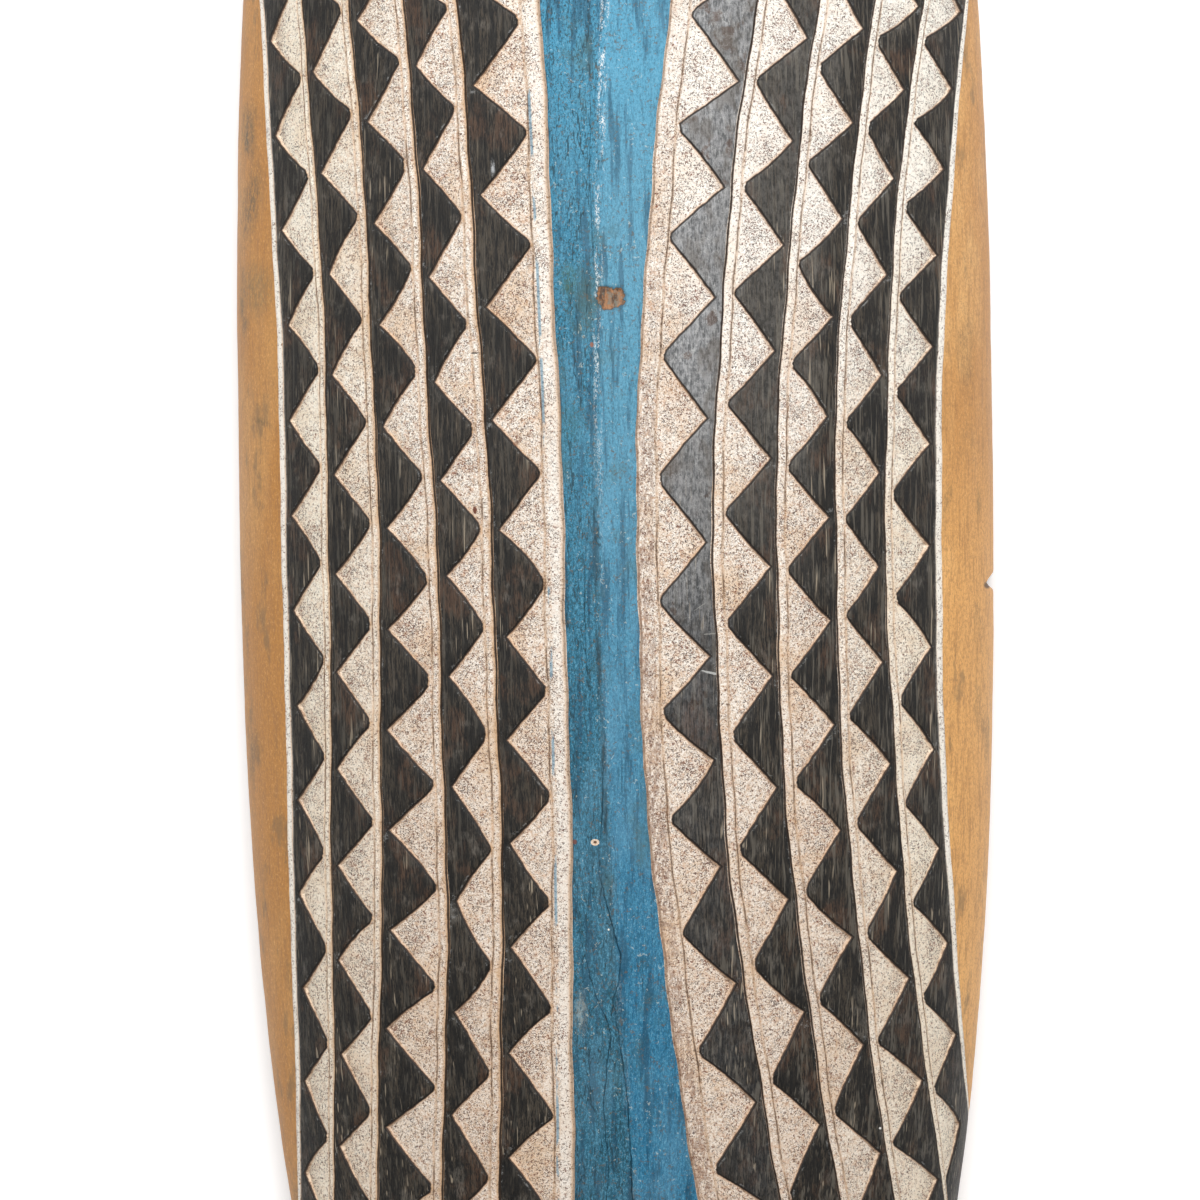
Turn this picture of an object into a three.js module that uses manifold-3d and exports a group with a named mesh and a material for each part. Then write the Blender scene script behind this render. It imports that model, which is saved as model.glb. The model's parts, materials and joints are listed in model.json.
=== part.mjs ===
// A tall, strongly domed wooden shield, chip-carved in columns of triangular teeth, lying face up on its rim.
// Millimetres. +Y runs to the upper end, +X to the right of someone facing the shield, +Z up out of the face.
// The origin is on the rim's underside, at the middle of the length and width.
import * as THREE from 'three';
import { mergeVertices } from 'three/addons/utils/BufferGeometryUtils.js';
import Module from 'manifold-3d';

const wasm = await Module();
wasm.setup();

// Board: outline, dome and hollow
const halfWidth = 220;
const halfLength = 760;
const outlinePower = 2.5; // fuller at the shoulders than an ellipse
const crownRise = 118; // face above the top of the rim wall, at the middle
const crownFall = { power: 2.2, blend: 0.75 }; // how the dome comes down to both ends
const rimHeight = 18; // upright wall round the edge
const rimWidth = 14; // flat underside that the shield lies on
const boardThickness = 15; // wood left under the crown
const hollowEndMargin = 22; // wood left at each end of the hollow
const keel = { rise: 3.5, halfWidth: 34 }; // low ridge down the middle of the centre band

// Lines that run down the face. Each is a shallow parabola: x is `waist` at height `waistY`.
const centreBand = {
  left: { waist: -28.8, waistY: -280, flare: -4.3e-5 },
  right: { waist: 11.5, waistY: -77, flare: 2.37e-4 },
};
const outerLine = {
  left: { waist: -186.9, waistY: -271, flare: -4.7e-5, wander: { size: 1.8, length: 520, peak: -180 } },
  right: { waist: 181.2, waistY: -97, flare: 2.09e-4, wander: { size: 1.2, length: 700, peak: -130 } },
};

// Columns of teeth, from the centre band outwards. `share` is where a column's inner edge lies between the
// centre band and the outer line at the waist. Points stand at firstTip + pitch * count + drift * count squared,
// and some columns sway about that by `size` over `teeth` teeth. A line wanders outwards by `size` at `peak`,
// and back again within `length`.
const columns = {
  left: [
    { share: 0, pitch: 60.7, firstTip: -116, drift: 0.27, sway: { size: 2.1, teeth: 6.5, start: -0.38 } },
    {
      share: 0.251, pitch: 59.1, firstTip: -84.8, drift: -0.3,
      sway: { size: 4.6, teeth: 6, start: 0.41 },
      wander: { size: 1.8, length: 1000, peak: 130 },
    },
    { share: 0.449, pitch: 57.6, firstTip: -54.8, drift: 0.09, wander: { size: 1.5, length: 800, peak: 60 } },
    { share: 0.665, pitch: 56.3, firstTip: -80.4, drift: 0.25, wander: { size: 2.4, length: 1200, peak: -400 } },
    { share: 0.84, pitch: 54.5, firstTip: -46.7, drift: 0.05, wander: { size: 3.4, length: 800, peak: -230 } },
  ],
  right: [
    { share: 0, pitch: 64.3, firstTip: -125.8, drift: 0.17, sway: { size: 4.8, teeth: 5, start: -0.35 } },
    { share: 0.253, pitch: 61.9, firstTip: -79.4, drift: -0.37 },
    { share: 0.463, pitch: 58, firstTip: -51.9, drift: -0.45 },
    {
      share: 0.659, pitch: 55.6, firstTip: -24, drift: -0.45,
      sway: { size: 2.8, teeth: 5.5, start: -0.31 },
      wander: { size: 1.2, length: 700, peak: -200 },
    },
    {
      share: 0.829, pitch: 52.9, firstTip: -15.8, drift: -0.32,
      sway: { size: 9.5, teeth: 12, start: 0.1 },
      wander: { size: 3.2, length: 1100, peak: -300 },
    },
  ],
};
const shareSpread = { size: 0.03, from: -100, reach: 345 }; // columns lie a little further out away from the waist
const mostTeeth = 14; // counted each way from the first
const borderStrip = 10; // flat strip between the centre band and the first teeth
const columnStrip = 4.5; // narrower strip at the foot of every other column
const neck = 3.5; // wood left between a tooth's point and the next column
const toothGap = 2.4; // wood left between the feet of two teeth
const toothDepth = 3.2; // at the point; the floor rises to the surface at the foot
const footDepth = 0.35;
const tipLean = { level: 0.49, perMm: -3.2e-4, low: 0.38, high: 0.66 }; // where the point stands up the tooth
const edgeShare = 0.965; // teeth stop at this share of the half width
const leastTooth = 9; // anything shorter than this is not cut
const cutClearance = 7; // how far a cut's own solid stands clear of the face

// Small damage
const notch = { y: -85, height: 10, depth: 5.6 };
const nailHole = { x: -14.8, y: -235, radius: 1.4, depth: 5 };

// Grip, carved from the same log across the hollow
const grip = {
  width: 32,
  thickness: 28,
  clearLength: 132, // between the two feet
  fingerGap: 42, // from the bar to the hollow's roof
  footLength: 34, // a foot along the shield, at the bar
  footSpread: 26, // how much longer a foot is where it joins the roof
  sink: 6, // how far the feet run into the board
  bevel: 5,
};

// Facets
const faceRows = 40;
const faceColumns = 20;
const hollowRows = 22;
const hollowColumns = 14;
const stationReach = 0.985; // how near the outermost rows come to the tips

// ---- the form of the board ----

function outlineAt(y, halfW = halfWidth, halfL = halfLength) {
  const share = Math.min(Math.abs(y) / halfL, 1);
  return halfW * (1 - share ** outlinePower) ** (1 / outlinePower);
}

function crownAt(y) {
  const share = Math.min(Math.abs(y) / halfLength, 1);
  return crownRise * (1 - share ** crownFall.power) ** crownFall.blend;
}

function lineAt(line, y) {
  return line.waist + line.flare * (y - line.waistY) ** 2;
}

function keelAt(x, y) {
  const middle = (lineAt(centreBand.left, y) + lineAt(centreBand.right, y)) / 2;
  const away = Math.min(Math.abs(x - middle) / keel.halfWidth, 1);
  return (keel.rise * (1 - away) * crownAt(y)) / crownRise;
}

function facePoint(x, y) {
  const across = Math.min(Math.abs(x) / Math.max(outlineAt(y), 1e-6), 1);
  const z = rimHeight + crownAt(y) * Math.sqrt(1 - across * across) + keelAt(x, y);
  return new THREE.Vector3(x, y, z);
}

function faceNormal(x, y) {
  const step = 1.5;
  const side = Math.sign(x) || 1;
  const alongX = facePoint(x, y).sub(facePoint(x - side * step, y)).multiplyScalar(side);
  const alongY = facePoint(x, y + step).sub(facePoint(x, y - step));
  return alongX.cross(alongY).normalize();
}

function hollowHeightAt(y) {
  const share = Math.min(Math.abs(y) / (halfLength - hollowEndMargin), 1);
  const roof = crownAt(y) + rimHeight - boardThickness;
  return roof * Math.sqrt(1 - share ** 6);
}

// ---- closed meshes ----

// Joins a row of closed loops, all with the same number of points, and closes both ends with a fan.
function loft(loops) {
  const count = loops[0].length;
  const positions = loops.flat().flatMap((point) => point.toArray());
  const index = [];
  for (let row = 0; row < loops.length - 1; row += 1) {
    for (let step = 0; step < count; step += 1) {
      const here = row * count + step;
      const next = row * count + ((step + 1) % count);
      index.push(here, next, next + count, here, next + count, here + count);
    }
  }
  const last = (loops.length - 1) * count;
  for (let step = 1; step < count - 1; step += 1) {
    index.push(0, step + 1, step);
    index.push(last, last + step, last + step + 1);
  }
  const geometry = new THREE.BufferGeometry();
  geometry.setAttribute('position', new THREE.Float32BufferAttribute(positions, 3));
  geometry.setIndex(index);
  return geometry;
}

function toSolid(geometry) {
  const bare = geometry.clone();
  bare.deleteAttribute('normal');
  bare.deleteAttribute('uv');
  const merged = mergeVertices(bare, 1e-4);
  const solid = new wasm.Manifold(
    new wasm.Mesh({
      numProp: 3,
      vertProperties: new Float32Array(merged.attributes.position.array),
      triVerts: new Uint32Array(merged.index.array),
    }),
  );
  return solid;
}

function toGeometry(solid) {
  const mesh = solid.getMesh();
  const geometry = new THREE.BufferGeometry();
  geometry.setAttribute('position', new THREE.BufferAttribute(mesh.vertProperties, 3));
  geometry.setIndex(new THREE.BufferAttribute(mesh.triVerts, 1));
  geometry.computeVertexNormals();
  return geometry;
}

// ---- board, hollow and grip ----

// Stations along the length, closer together towards the ends and stopping just short of the tips.
function stations(rows, halfL) {
  return Array.from({ length: rows + 1 }, (_, row) => {
    const turn = ((2 * row) / rows - 1) * stationReach;
    return halfL * Math.sin((turn * Math.PI) / 2);
  });
}

function faceSolid() {
  const loops = stations(faceRows, halfLength).map((y) => {
    const half = outlineAt(y);
    const loop = [new THREE.Vector3(half, y, 0)];
    for (let step = 0; step <= faceColumns; step += 1) {
      loop.push(facePoint(half * Math.cos((Math.PI * step) / faceColumns), y));
    }
    loop.push(new THREE.Vector3(-half, y, 0));
    return loop.reverse();
  });
  return toSolid(loft(loops));
}

function hollowSolid() {
  const halfL = halfLength - hollowEndMargin;
  const loops = stations(hollowRows, halfL).map((y) => {
    const half = outlineAt(y, halfWidth - rimWidth, halfL);
    const roof = hollowHeightAt(y);
    const loop = [new THREE.Vector3(half, y, -cutClearance)];
    for (let step = 0; step <= hollowColumns; step += 1) {
      const turn = (Math.PI * step) / hollowColumns;
      loop.push(new THREE.Vector3(half * Math.cos(turn), y, roof * Math.sin(turn)));
    }
    loop.push(new THREE.Vector3(-half, y, -cutClearance));
    return loop.reverse();
  });
  return toSolid(loft(loops));
}

// Side view of the grip in (y, z), a bar with a splayed foot at each end, pulled out along x.
function gripSolid() {
  const roof = hollowHeightAt(0);
  const top = roof - grip.fingerGap;
  const bottom = top - grip.thickness;
  const inner = grip.clearLength / 2;
  const outer = inner + grip.footLength;
  const root = roof + grip.sink;
  const spread = grip.footSpread / 2;
  const round = grip.thickness / 2;
  const shape = new THREE.Shape();
  shape.moveTo(-outer - spread, root);
  shape.lineTo(-outer + spread, bottom + round);
  shape.quadraticCurveTo(-outer + spread + 4, bottom, -inner + spread, bottom);
  shape.quadraticCurveTo(0, bottom - 4, inner - spread, bottom);
  shape.quadraticCurveTo(outer - spread - 4, bottom, outer - spread, bottom + round);
  shape.lineTo(outer + spread, root);
  shape.lineTo(inner + 2, root);
  shape.lineTo(inner, top + round);
  shape.quadraticCurveTo(inner, top, inner - round, top);
  shape.lineTo(-inner + round, top);
  shape.quadraticCurveTo(-inner, top, -inner, top + round);
  shape.lineTo(-inner - 2, root);
  shape.closePath();
  const geometry = new THREE.ExtrudeGeometry(shape, {
    depth: grip.width - 2 * grip.bevel,
    curveSegments: 5,
    bevelEnabled: true,
    bevelThickness: grip.bevel,
    bevelSize: grip.bevel,
    bevelOffset: -grip.bevel,
    bevelSegments: 2,
  });
  geometry.translate(0, 0, grip.bevel - grip.width / 2);
  const toShield = new THREE.Matrix4().set(0, 0, 1, 0, 1, 0, 0, 0, 0, 1, 0, 0, 0, 0, 0, 1);
  geometry.applyMatrix4(toShield);
  return toSolid(geometry);
}

// ---- carving ----

// Edge number 0 is the centre band's own edge; the one after the last column is the outer line.
function columnEdge(side, number, y) {
  const inner = lineAt(centreBand[side], y);
  const outer = lineAt(outerLine[side], y);
  const column = columns[side][number];
  const spread = shareSpread.size * Math.min(1, ((y - shareSpread.from) / shareSpread.reach) ** 2);
  const share = column ? column.share + (number > 0 ? spread : 0) : 1;
  const x = inner + (outer - inner) * share;
  const { size, length, peak } = (column ?? outerLine[side]).wander ?? { size: 0, length: 1, peak: 0 };
  const steep = Math.sqrt(1 - Math.min(Math.abs(x) / outlineAt(y), 1) ** 2);
  const outward = side === 'left' ? -1 : 1;
  return x + outward * steep * size * Math.cos((2 * Math.PI * (y - peak)) / length);
}

function tipYOf(column, count) {
  const sway = column.sway ?? { size: 0, teeth: 1, start: 0 };
  const swing = sway.size * Math.sin(2 * Math.PI * (count / sway.teeth + sway.start));
  return column.firstTip + column.pitch * count + column.drift * count * count + swing;
}

// Where the foot of one tooth ends and the foot of the next one up begins.
function footBreak(column, count) {
  const above = tipYOf(column, count + 1);
  const lean = THREE.MathUtils.clamp(tipLean.level + tipLean.perMm * above, tipLean.low, tipLean.high);
  return above - lean * (above - tipYOf(column, count));
}

// A tooth's wedge: its floor starts just under the surface at the foot and is sunk at the point.
function toothSolid(foot, tip) {
  const corners = [
    { ...foot[0], depth: footDepth },
    { ...tip, depth: toothDepth },
    { ...foot[1], depth: footDepth },
  ];
  const offFace = ({ x, y }, rise) => facePoint(x, y).addScaledVector(faceNormal(x, y), rise);
  const floor = corners.map((corner) => offFace(corner, -corner.depth));
  const lid = corners.map((corner) => offFace(corner, cutClearance));
  const pointsRight = foot[0].x < tip.x;
  return toSolid(loft(pointsRight ? [floor, lid] : [floor.reverse(), lid.reverse()]));
}

function teethOf(side) {
  const outward = side === 'left' ? -1 : 1;
  const teeth = [];
  columns[side].forEach((column, number) => {
    const strip = number === 0 ? borderStrip : columnStrip;
    const footX = (y) => columnEdge(side, number, y) + outward * strip;
    const pointX = (y) => columnEdge(side, number + 1, y) - outward * neck;
    for (let count = -mostTeeth; count <= mostTeeth; count += 1) {
      const tipY = tipYOf(column, count);
      const lowY = footBreak(column, count - 1) + toothGap / 2;
      const highY = footBreak(column, count) - toothGap / 2;
      const limit = edgeShare * outlineAt(Math.max(Math.abs(lowY), Math.abs(highY)));
      const tipLimit = edgeShare * outlineAt(tipY);
      const footFits = Math.max(Math.abs(footX(lowY)), Math.abs(footX(highY))) < limit;
      const reach = outward * Math.min(outward * pointX(tipY), tipLimit);
      if (footFits && outward * (reach - footX(tipY)) > leastTooth) {
        const foot = [
          { x: footX(lowY), y: lowY },
          { x: footX(highY), y: highY },
        ];
        teeth.push(toothSolid(foot, { x: reach, y: tipY }));
      }
    }
  });
  return teeth;
}

function notchSolid() {
  const edge = outlineAt(notch.y);
  const inside = edge - notch.depth;
  const outside = edge + notch.depth;
  const cut = (z) => [
    new THREE.Vector3(inside + 1, notch.y - notch.height * 0.35, z),
    new THREE.Vector3(outside, notch.y - notch.height * 0.5, z),
    new THREE.Vector3(outside, notch.y + notch.height * 0.7, z),
    new THREE.Vector3(inside, notch.y + notch.height * 0.2, z),
  ];
  return toSolid(loft([cut(-cutClearance), cut(rimHeight + crownRise / 2)]));
}

function nailHoleSolid() {
  const { x, y, radius, depth } = nailHole;
  const surface = facePoint(x, y).z;
  const height = depth + cutClearance;
  const geometry = new THREE.CylinderGeometry(radius, radius * 0.6, height, 8);
  geometry.rotateX(Math.PI / 2);
  geometry.translate(x, y, surface + cutClearance - height / 2);
  return toSolid(geometry);
}

// ---- the shield ----

const hollowed = faceSolid().subtract(hollowSolid()).add(gripSolid());
const cuts = [...teethOf('left'), ...teethOf('right'), notchSolid(), nailHoleSolid()];
const carved = cuts.reduce((board, cut) => board.subtract(cut), hollowed);

const paintedWood = new THREE.MeshStandardMaterial({ color: 0x6b5f55, roughness: 0.6, metalness: 0 });
const shieldBoard = new THREE.Mesh(toGeometry(carved), paintedWood);
shieldBoard.name = 'shield_board';

const group = new THREE.Group();
group.add(shieldBoard);

export default group;
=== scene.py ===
import bpy
import json
import math
import numpy as np
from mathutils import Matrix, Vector
from mathutils.geometry import delaunay_2d_cdt
from mathutils.kdtree import KDTree

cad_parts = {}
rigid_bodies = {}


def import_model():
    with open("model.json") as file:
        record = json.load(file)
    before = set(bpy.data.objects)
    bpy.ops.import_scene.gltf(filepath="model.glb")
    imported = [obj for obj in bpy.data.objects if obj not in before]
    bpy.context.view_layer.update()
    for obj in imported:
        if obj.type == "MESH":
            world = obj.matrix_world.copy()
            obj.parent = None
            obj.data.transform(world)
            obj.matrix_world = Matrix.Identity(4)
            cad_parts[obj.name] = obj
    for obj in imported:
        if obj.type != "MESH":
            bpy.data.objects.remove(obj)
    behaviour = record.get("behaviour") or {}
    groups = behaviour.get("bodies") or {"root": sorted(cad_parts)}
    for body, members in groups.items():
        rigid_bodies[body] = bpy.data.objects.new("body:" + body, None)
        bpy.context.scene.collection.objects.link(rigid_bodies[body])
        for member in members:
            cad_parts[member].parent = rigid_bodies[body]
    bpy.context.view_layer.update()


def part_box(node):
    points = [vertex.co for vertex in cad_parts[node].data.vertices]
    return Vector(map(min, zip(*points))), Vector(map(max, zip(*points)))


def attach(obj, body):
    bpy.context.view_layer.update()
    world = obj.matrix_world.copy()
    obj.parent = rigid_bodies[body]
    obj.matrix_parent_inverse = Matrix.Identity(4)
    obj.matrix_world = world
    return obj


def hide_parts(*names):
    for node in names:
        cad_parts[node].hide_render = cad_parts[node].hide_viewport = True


for leftOver in list(bpy.data.objects):
    bpy.data.objects.remove(leftOver)

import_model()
mm = 0.001

# the board: one domed plank, its lines and its teeth (millimetres)

low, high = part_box("shield_board")
skin = 0.7  # the finished surface keeps this far inside the frame's box

board = {
    "halfWidth": high.x / mm - skin,
    "halfLength": high.y / mm - skin,
    "outlinePower": 2.5,
    "rimHeight": 18.0,
    "rimWidth": 14.0,
    "thickness": 15.0,
    "crownRise": high.z / mm - 18.0 - 3.5 - 2 * skin,
    "crownPower": 2.2,
    "crownBlend": 0.75,
    "keelRise": 3.5,
    "keelHalfWidth": 34.0,
    "hollowEndMargin": 22.0,
    "stationReach": 0.985,
    "edgeStep": 4.6,  # along the edge
    "hollowStep": 7.6,
}

# each line down the face is a shallow parabola: x is "waist" at the height "waistY"
centreBand = {
    "left": {"waist": -28.8, "waistY": -280, "flare": -4.3e-5},
    "right": {"waist": 11.5, "waistY": -77, "flare": 2.37e-4},
}
outerLine = {
    "left": {"waist": -186.9, "waistY": -271, "flare": -4.7e-5,
             "wander": {"size": 1.8, "length": 520, "peak": -180}},
    "right": {"waist": 181.2, "waistY": -97, "flare": 2.09e-4,
              "wander": {"size": 1.2, "length": 700, "peak": -130}},
}

# columns of teeth from the centre band outwards; points stand at firstTip + pitch n + drift n squared,
# and some columns sway about that by "size" over "teeth" teeth; a line wanders outwards by "size" at
# the height "peak" and back again within "length"
columns = {
    "left": [
        {"share": 0.0, "pitch": 60.7, "firstTip": -116.0, "drift": 0.27,
         "sway": {"size": 2.1, "teeth": 6.5, "start": -0.38}},
        {"share": 0.251, "pitch": 59.1, "firstTip": -84.8, "drift": -0.3,
         "sway": {"size": 4.6, "teeth": 6, "start": 0.41},
         "wander": {"size": 1.8, "length": 1000, "peak": 130}},
        {"share": 0.449, "pitch": 57.6, "firstTip": -54.8, "drift": 0.09,
         "wander": {"size": 1.5, "length": 800, "peak": 60}},
        {"share": 0.665, "pitch": 56.3, "firstTip": -80.4, "drift": 0.25,
         "wander": {"size": 2.4, "length": 1200, "peak": -400}},
        {"share": 0.84, "pitch": 54.5, "firstTip": -46.7, "drift": 0.05,
         "wander": {"size": 3.4, "length": 800, "peak": -230}},
    ],
    "right": [
        {"share": 0.0, "pitch": 64.3, "firstTip": -125.8, "drift": 0.17,
         "sway": {"size": 4.8, "teeth": 5, "start": -0.35}},
        {"share": 0.253, "pitch": 61.9, "firstTip": -79.4, "drift": -0.37},
        {"share": 0.463, "pitch": 58.0, "firstTip": -51.9, "drift": -0.45},
        {"share": 0.659, "pitch": 55.6, "firstTip": -24.0, "drift": -0.45,
         "sway": {"size": 2.8, "teeth": 5.5, "start": -0.31},
         "wander": {"size": 1.2, "length": 700, "peak": -200}},
        {"share": 0.829, "pitch": 52.9, "firstTip": -15.8, "drift": -0.32,
         "sway": {"size": 9.5, "teeth": 12, "start": 0.1},
         "wander": {"size": 3.2, "length": 1100, "peak": -300}},
    ],
}
shareSpread = {"size": 0.03, "from": -100, "reach": 345}  # columns lie further out away from the waist

carving = {
    "borderStrip": 8.4,  # flat strip beside the centre band
    "columnStrip": 4.6,  # flat strip at the foot of every other column
    "scribeWidth": 1.3,  # scribed line between a strip and its teeth
    "scribeDepth": 0.5,
    "stopWidth": 1.3,  # steep line between the black and the next strip
    "stopDepth": 0.85,
    "outerStrip": 5.0,
    "neck": 2.7,
    "toothGap": 1.6,
    "toothDepth": 3.0,
    "footDepth": 0.3,
    "wallWidth": 1.35,
    "roundWidth": 1.1,  # worn round shoulder along the black edge
    "roundDepth": 0.42,
    "lineStep": 5.0,
    "sideSteps": 9,
    "cornerShare": 0.055,  # how far up a side the black corner between two feet is blunted
    "leanLevel": 0.49,
    "leanPerMm": -3.2e-4,
    "leanLow": 0.38,
    "leanHigh": 0.66,
    "handError": 1.0,  # how far the carver strays
    "mostTeeth": 14,
    "leastTooth": 9.0,
    "tipMargin": 34.0,  # least distance from a point to the edge, round the steep side
    "reach": 8.0,  # how far from a cut its distance still counts
    "sliverReach": 20.0,  # how far across a tooth's foot is cleared of slivers
}

zones = ["white", "black", "blue", "ochre", "bare", "back"]
zoneNumber = {name: number for number, name in enumerate(zones)}


def outlineAt(y, halfWidth=None, halfLength=None):
    share = np.clip(np.abs(y) / (halfLength or board["halfLength"]), 0, 1)
    power = board["outlinePower"]
    return (halfWidth or board["halfWidth"]) * (1 - share ** power) ** (1 / power)


def crownAt(y):
    share = np.clip(np.abs(y) / board["halfLength"], 0, 1)
    return board["crownRise"] * (1 - share ** board["crownPower"]) ** board["crownBlend"]


def meanRadius(a, b):
    # radius of the circle as long round as an ellipse of half axes a and b
    return 0.5 * (3 * (a + b) - np.sqrt((3 * a + b) * (a + 3 * b)))


def faceRadius(y):
    return meanRadius(outlineAt(y), crownAt(y))


def flatAcross(x, y):
    # distance from the middle line, measured over the dome
    return np.arcsin(np.clip(x / outlineAt(y), -1, 1)) * faceRadius(y)


def lineAt(line, y):
    return line["waist"] + line["flare"] * (y - line["waistY"]) ** 2


def stray(y, seed, size):
    # slow waver of a hand-cut line
    dice = np.random.default_rng(seed)
    total = 0.0
    for wavelength, share in ((210.0, 0.5), (83.0, 0.32), (31.0, 0.18)):
        total = total + share * np.sin(2 * math.pi * (y / wavelength + dice.random()))
    return size * total


def outward(side):
    return -1.0 if side == "left" else 1.0


def columnEdge(side, number, y):
    # flat position of the inner edge of a column; the last one is the outer white line
    inner = lineAt(centreBand[side], y)
    outer = lineAt(outerLine[side], y)
    spread = shareSpread["size"] * np.minimum(1, ((y - shareSpread["from"]) / shareSpread["reach"]) ** 2)
    last = number == len(columns[side])
    share = 1.0 if last else columns[side][number]["share"] + (spread if number else 0)
    seed = 40 + number + (20 if side == "left" else 0)
    x = inner + (outer - inner) * share
    wander = (outerLine[side] if last else columns[side][number]).get("wander")
    swing = wander["size"] * np.cos(2 * math.pi * (y - wander["peak"]) / wander["length"]) if wander else 0
    return flatAcross(x, y) + outward(side) * swing + stray(y, seed, carving["handError"])


def tipAt(column, count):
    sway = column.get("sway", {"size": 0, "teeth": 1, "start": 0})
    swing = sway["size"] * math.sin(2 * math.pi * (count / sway["teeth"] + sway["start"]))
    return column["firstTip"] + column["pitch"] * count + column["drift"] * count ** 2 + swing


def footBreak(column, count):
    # where the foot of one tooth ends and the foot of the next one up begins
    above = tipAt(column, count + 1)
    lean = carving["leanLevel"] + carving["leanPerMm"] * above
    lean = min(max(lean, carving["leanLow"]), carving["leanHigh"])
    return above - lean * (above - tipAt(column, count))


# flat layout: every point of the face before it is bent

class Layout:
    def __init__(self):
        self.points = []
        self.sink = []  # depth below the face
        self.edge = []  # 1 on a cut edge, 0 on open surface
        self.links = []

    def add(self, u, v, sink=0.0, edge=0.0):
        self.points.append((float(u), float(v)))
        self.sink.append(float(sink))
        self.edge.append(float(edge))
        return len(self.points) - 1

    def line(self, path, sink=0.0, edge=0.0, closed=False):
        sinks = np.broadcast_to(sink, len(path))
        edges = np.broadcast_to(edge, len(path))
        ids = [self.add(u, v, s, e) for (u, v), s, e in zip(path, sinks, edges)]
        self.links += list(zip(ids[:-1], ids[1:]))
        if closed:
            self.links.append((ids[-1], ids[0]))
        return ids


def edgeStations(halfLength):
    # heights along one side, evenly spaced over the flat outline
    turn = np.linspace(-1, 1, 4001) * board["stationReach"]
    y = halfLength * np.sin(turn * math.pi / 2)
    across = faceRadius(y) * math.pi / 2
    run = np.concatenate([[0], np.cumsum(np.hypot(np.diff(across), np.diff(y)))])
    count = int(run[-1] / board["edgeStep"])
    return np.interp(np.linspace(0, run[-1], count + 1), run, y)


notch = {
    "y": -88.0,
    # (height above y, depth from the edge)
    "shape": [(-6.4, 0.0), (-5.3, 1.3), (-3.4, 4.2), (-1.7, 5.4), (0.2, 4.5), (2.4, 2.6), (4.0, 1.0),
              (4.8, 0.0)],
}


def boundaryLoop():
    # (turn, y) pairs round the edge, anticlockwise from the lower right
    y = edgeStations(board["halfLength"])
    quarter = math.pi / 2
    right = [(quarter, value) for value in y]
    bite = [(notch["y"] + rise, depth) for rise, depth in notch["shape"]]
    clear = board["edgeStep"] * 0.5
    right = [p for p in right if not bite[0][0] - clear < p[1] < bite[-1][0] + clear]
    for value, depth in bite:
        turn = math.asin((outlineAt(value) - depth) / outlineAt(value))
        right.append((turn, value))
    right.sort(key=lambda p: p[1])
    ends = np.linspace(quarter, -quarter, 8)[1:-1]
    top = [(turn, y[-1]) for turn in ends]
    left = [(-quarter, value) for value in y[::-1]]
    bottom = [(turn, y[0]) for turn in ends[::-1]]
    return right + top + left + bottom


loop = boundaryLoop()
loopTurn = np.array([p[0] for p in loop])
loopY = np.array([p[1] for p in loop])
loopAcross = loopTurn * faceRadius(loopY)
yEnd = loopY.max()
rightEdge = [i for i in range(len(loop)) if loopTurn[i] > 1.2]
leftEdge = [i for i in range(len(loop)) if loopTurn[i] < -1.2]
rightY, rightU = loopY[rightEdge], loopAcross[rightEdge]
leftY, leftU = loopY[leftEdge][::-1], loopAcross[leftEdge][::-1]


def flatLimit(side, y):
    if side == "right":
        return np.interp(y, rightY, rightU)
    return np.interp(y, leftY, leftU)


def clippedLine(side, across, step):
    # the stretch of a line that lies on the face, with its ends on the edge
    y = np.arange(-yEnd + 2.0, yEnd - 2.0, step)
    u = across(y)
    inside = outward(side) * u < outward(side) * flatLimit(side, y) - 1.0
    return [(a, b) for a, b, keep in zip(u, y, inside) if keep]


def strip(side, layout, across, width, sink, edge, breadthSeed):
    # a scribed groove: inner lip, bottom and outer lip, from the centre band outwards
    half = lambda y: 0.5 * width * (1 + 0.45 * stray(y, breadthSeed, 1.0))
    rows = []
    for lean, depth, mark in ((-1.0, 0.0, 0.35), (0.0, sink, edge), (1.0, 0.0, 0.35)):
        lean *= outward(side)
        path = clippedLine(side, lambda y: across(y) + lean * half(y), carving["lineStep"])
        if len(path) > 3:
            layout.line(path, depth, mark)
        rows.append(path)
    return rows


def toothShape(side, number, count, dice):
    column = columns[side][number]
    out = outward(side)
    tipY = tipAt(column, count)
    gap = carving["toothGap"] / 2
    error = carving["handError"]
    lowY = footBreak(column, count - 1) + gap + dice.normal(0, 0.4 * error)
    highY = footBreak(column, count) - gap + dice.normal(0, 0.4 * error)
    if max(abs(lowY), abs(highY)) > yEnd - 4:
        return None
    stripWidth = carving["borderStrip"] if number == 0 else carving["columnStrip"]
    footOffset = stripWidth + 0.5 * carving["scribeWidth"]
    foot = [columnEdge(side, number, y) + out * footOffset for y in (lowY, highY)]
    tip = columnEdge(side, number + 1, tipY) - out * (carving["neck"] + abs(dice.normal(0, 0.7 * error)))
    limit = flatLimit(side, tipY) - out * carving["tipMargin"]
    tip = out * min(out * tip, out * limit)
    reach = out * (tip - 0.5 * (foot[0] + foot[1]))
    footLimit = min(out * flatLimit(side, y) for y in (lowY, highY)) - 3.0
    if reach < carving["leastTooth"] or max(out * foot[0], out * foot[1]) > footLimit:
        return None
    blunt = carving["cornerShare"] * dice.uniform(0.6, 1.7, 2)
    return {"low": Vector((foot[0], lowY)), "high": Vector((foot[1], highY)), "tip": Vector((tip, tipY)),
            "reach": reach, "bow": dice.normal(0, 0.7, 2), "blunt": blunt}


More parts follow.
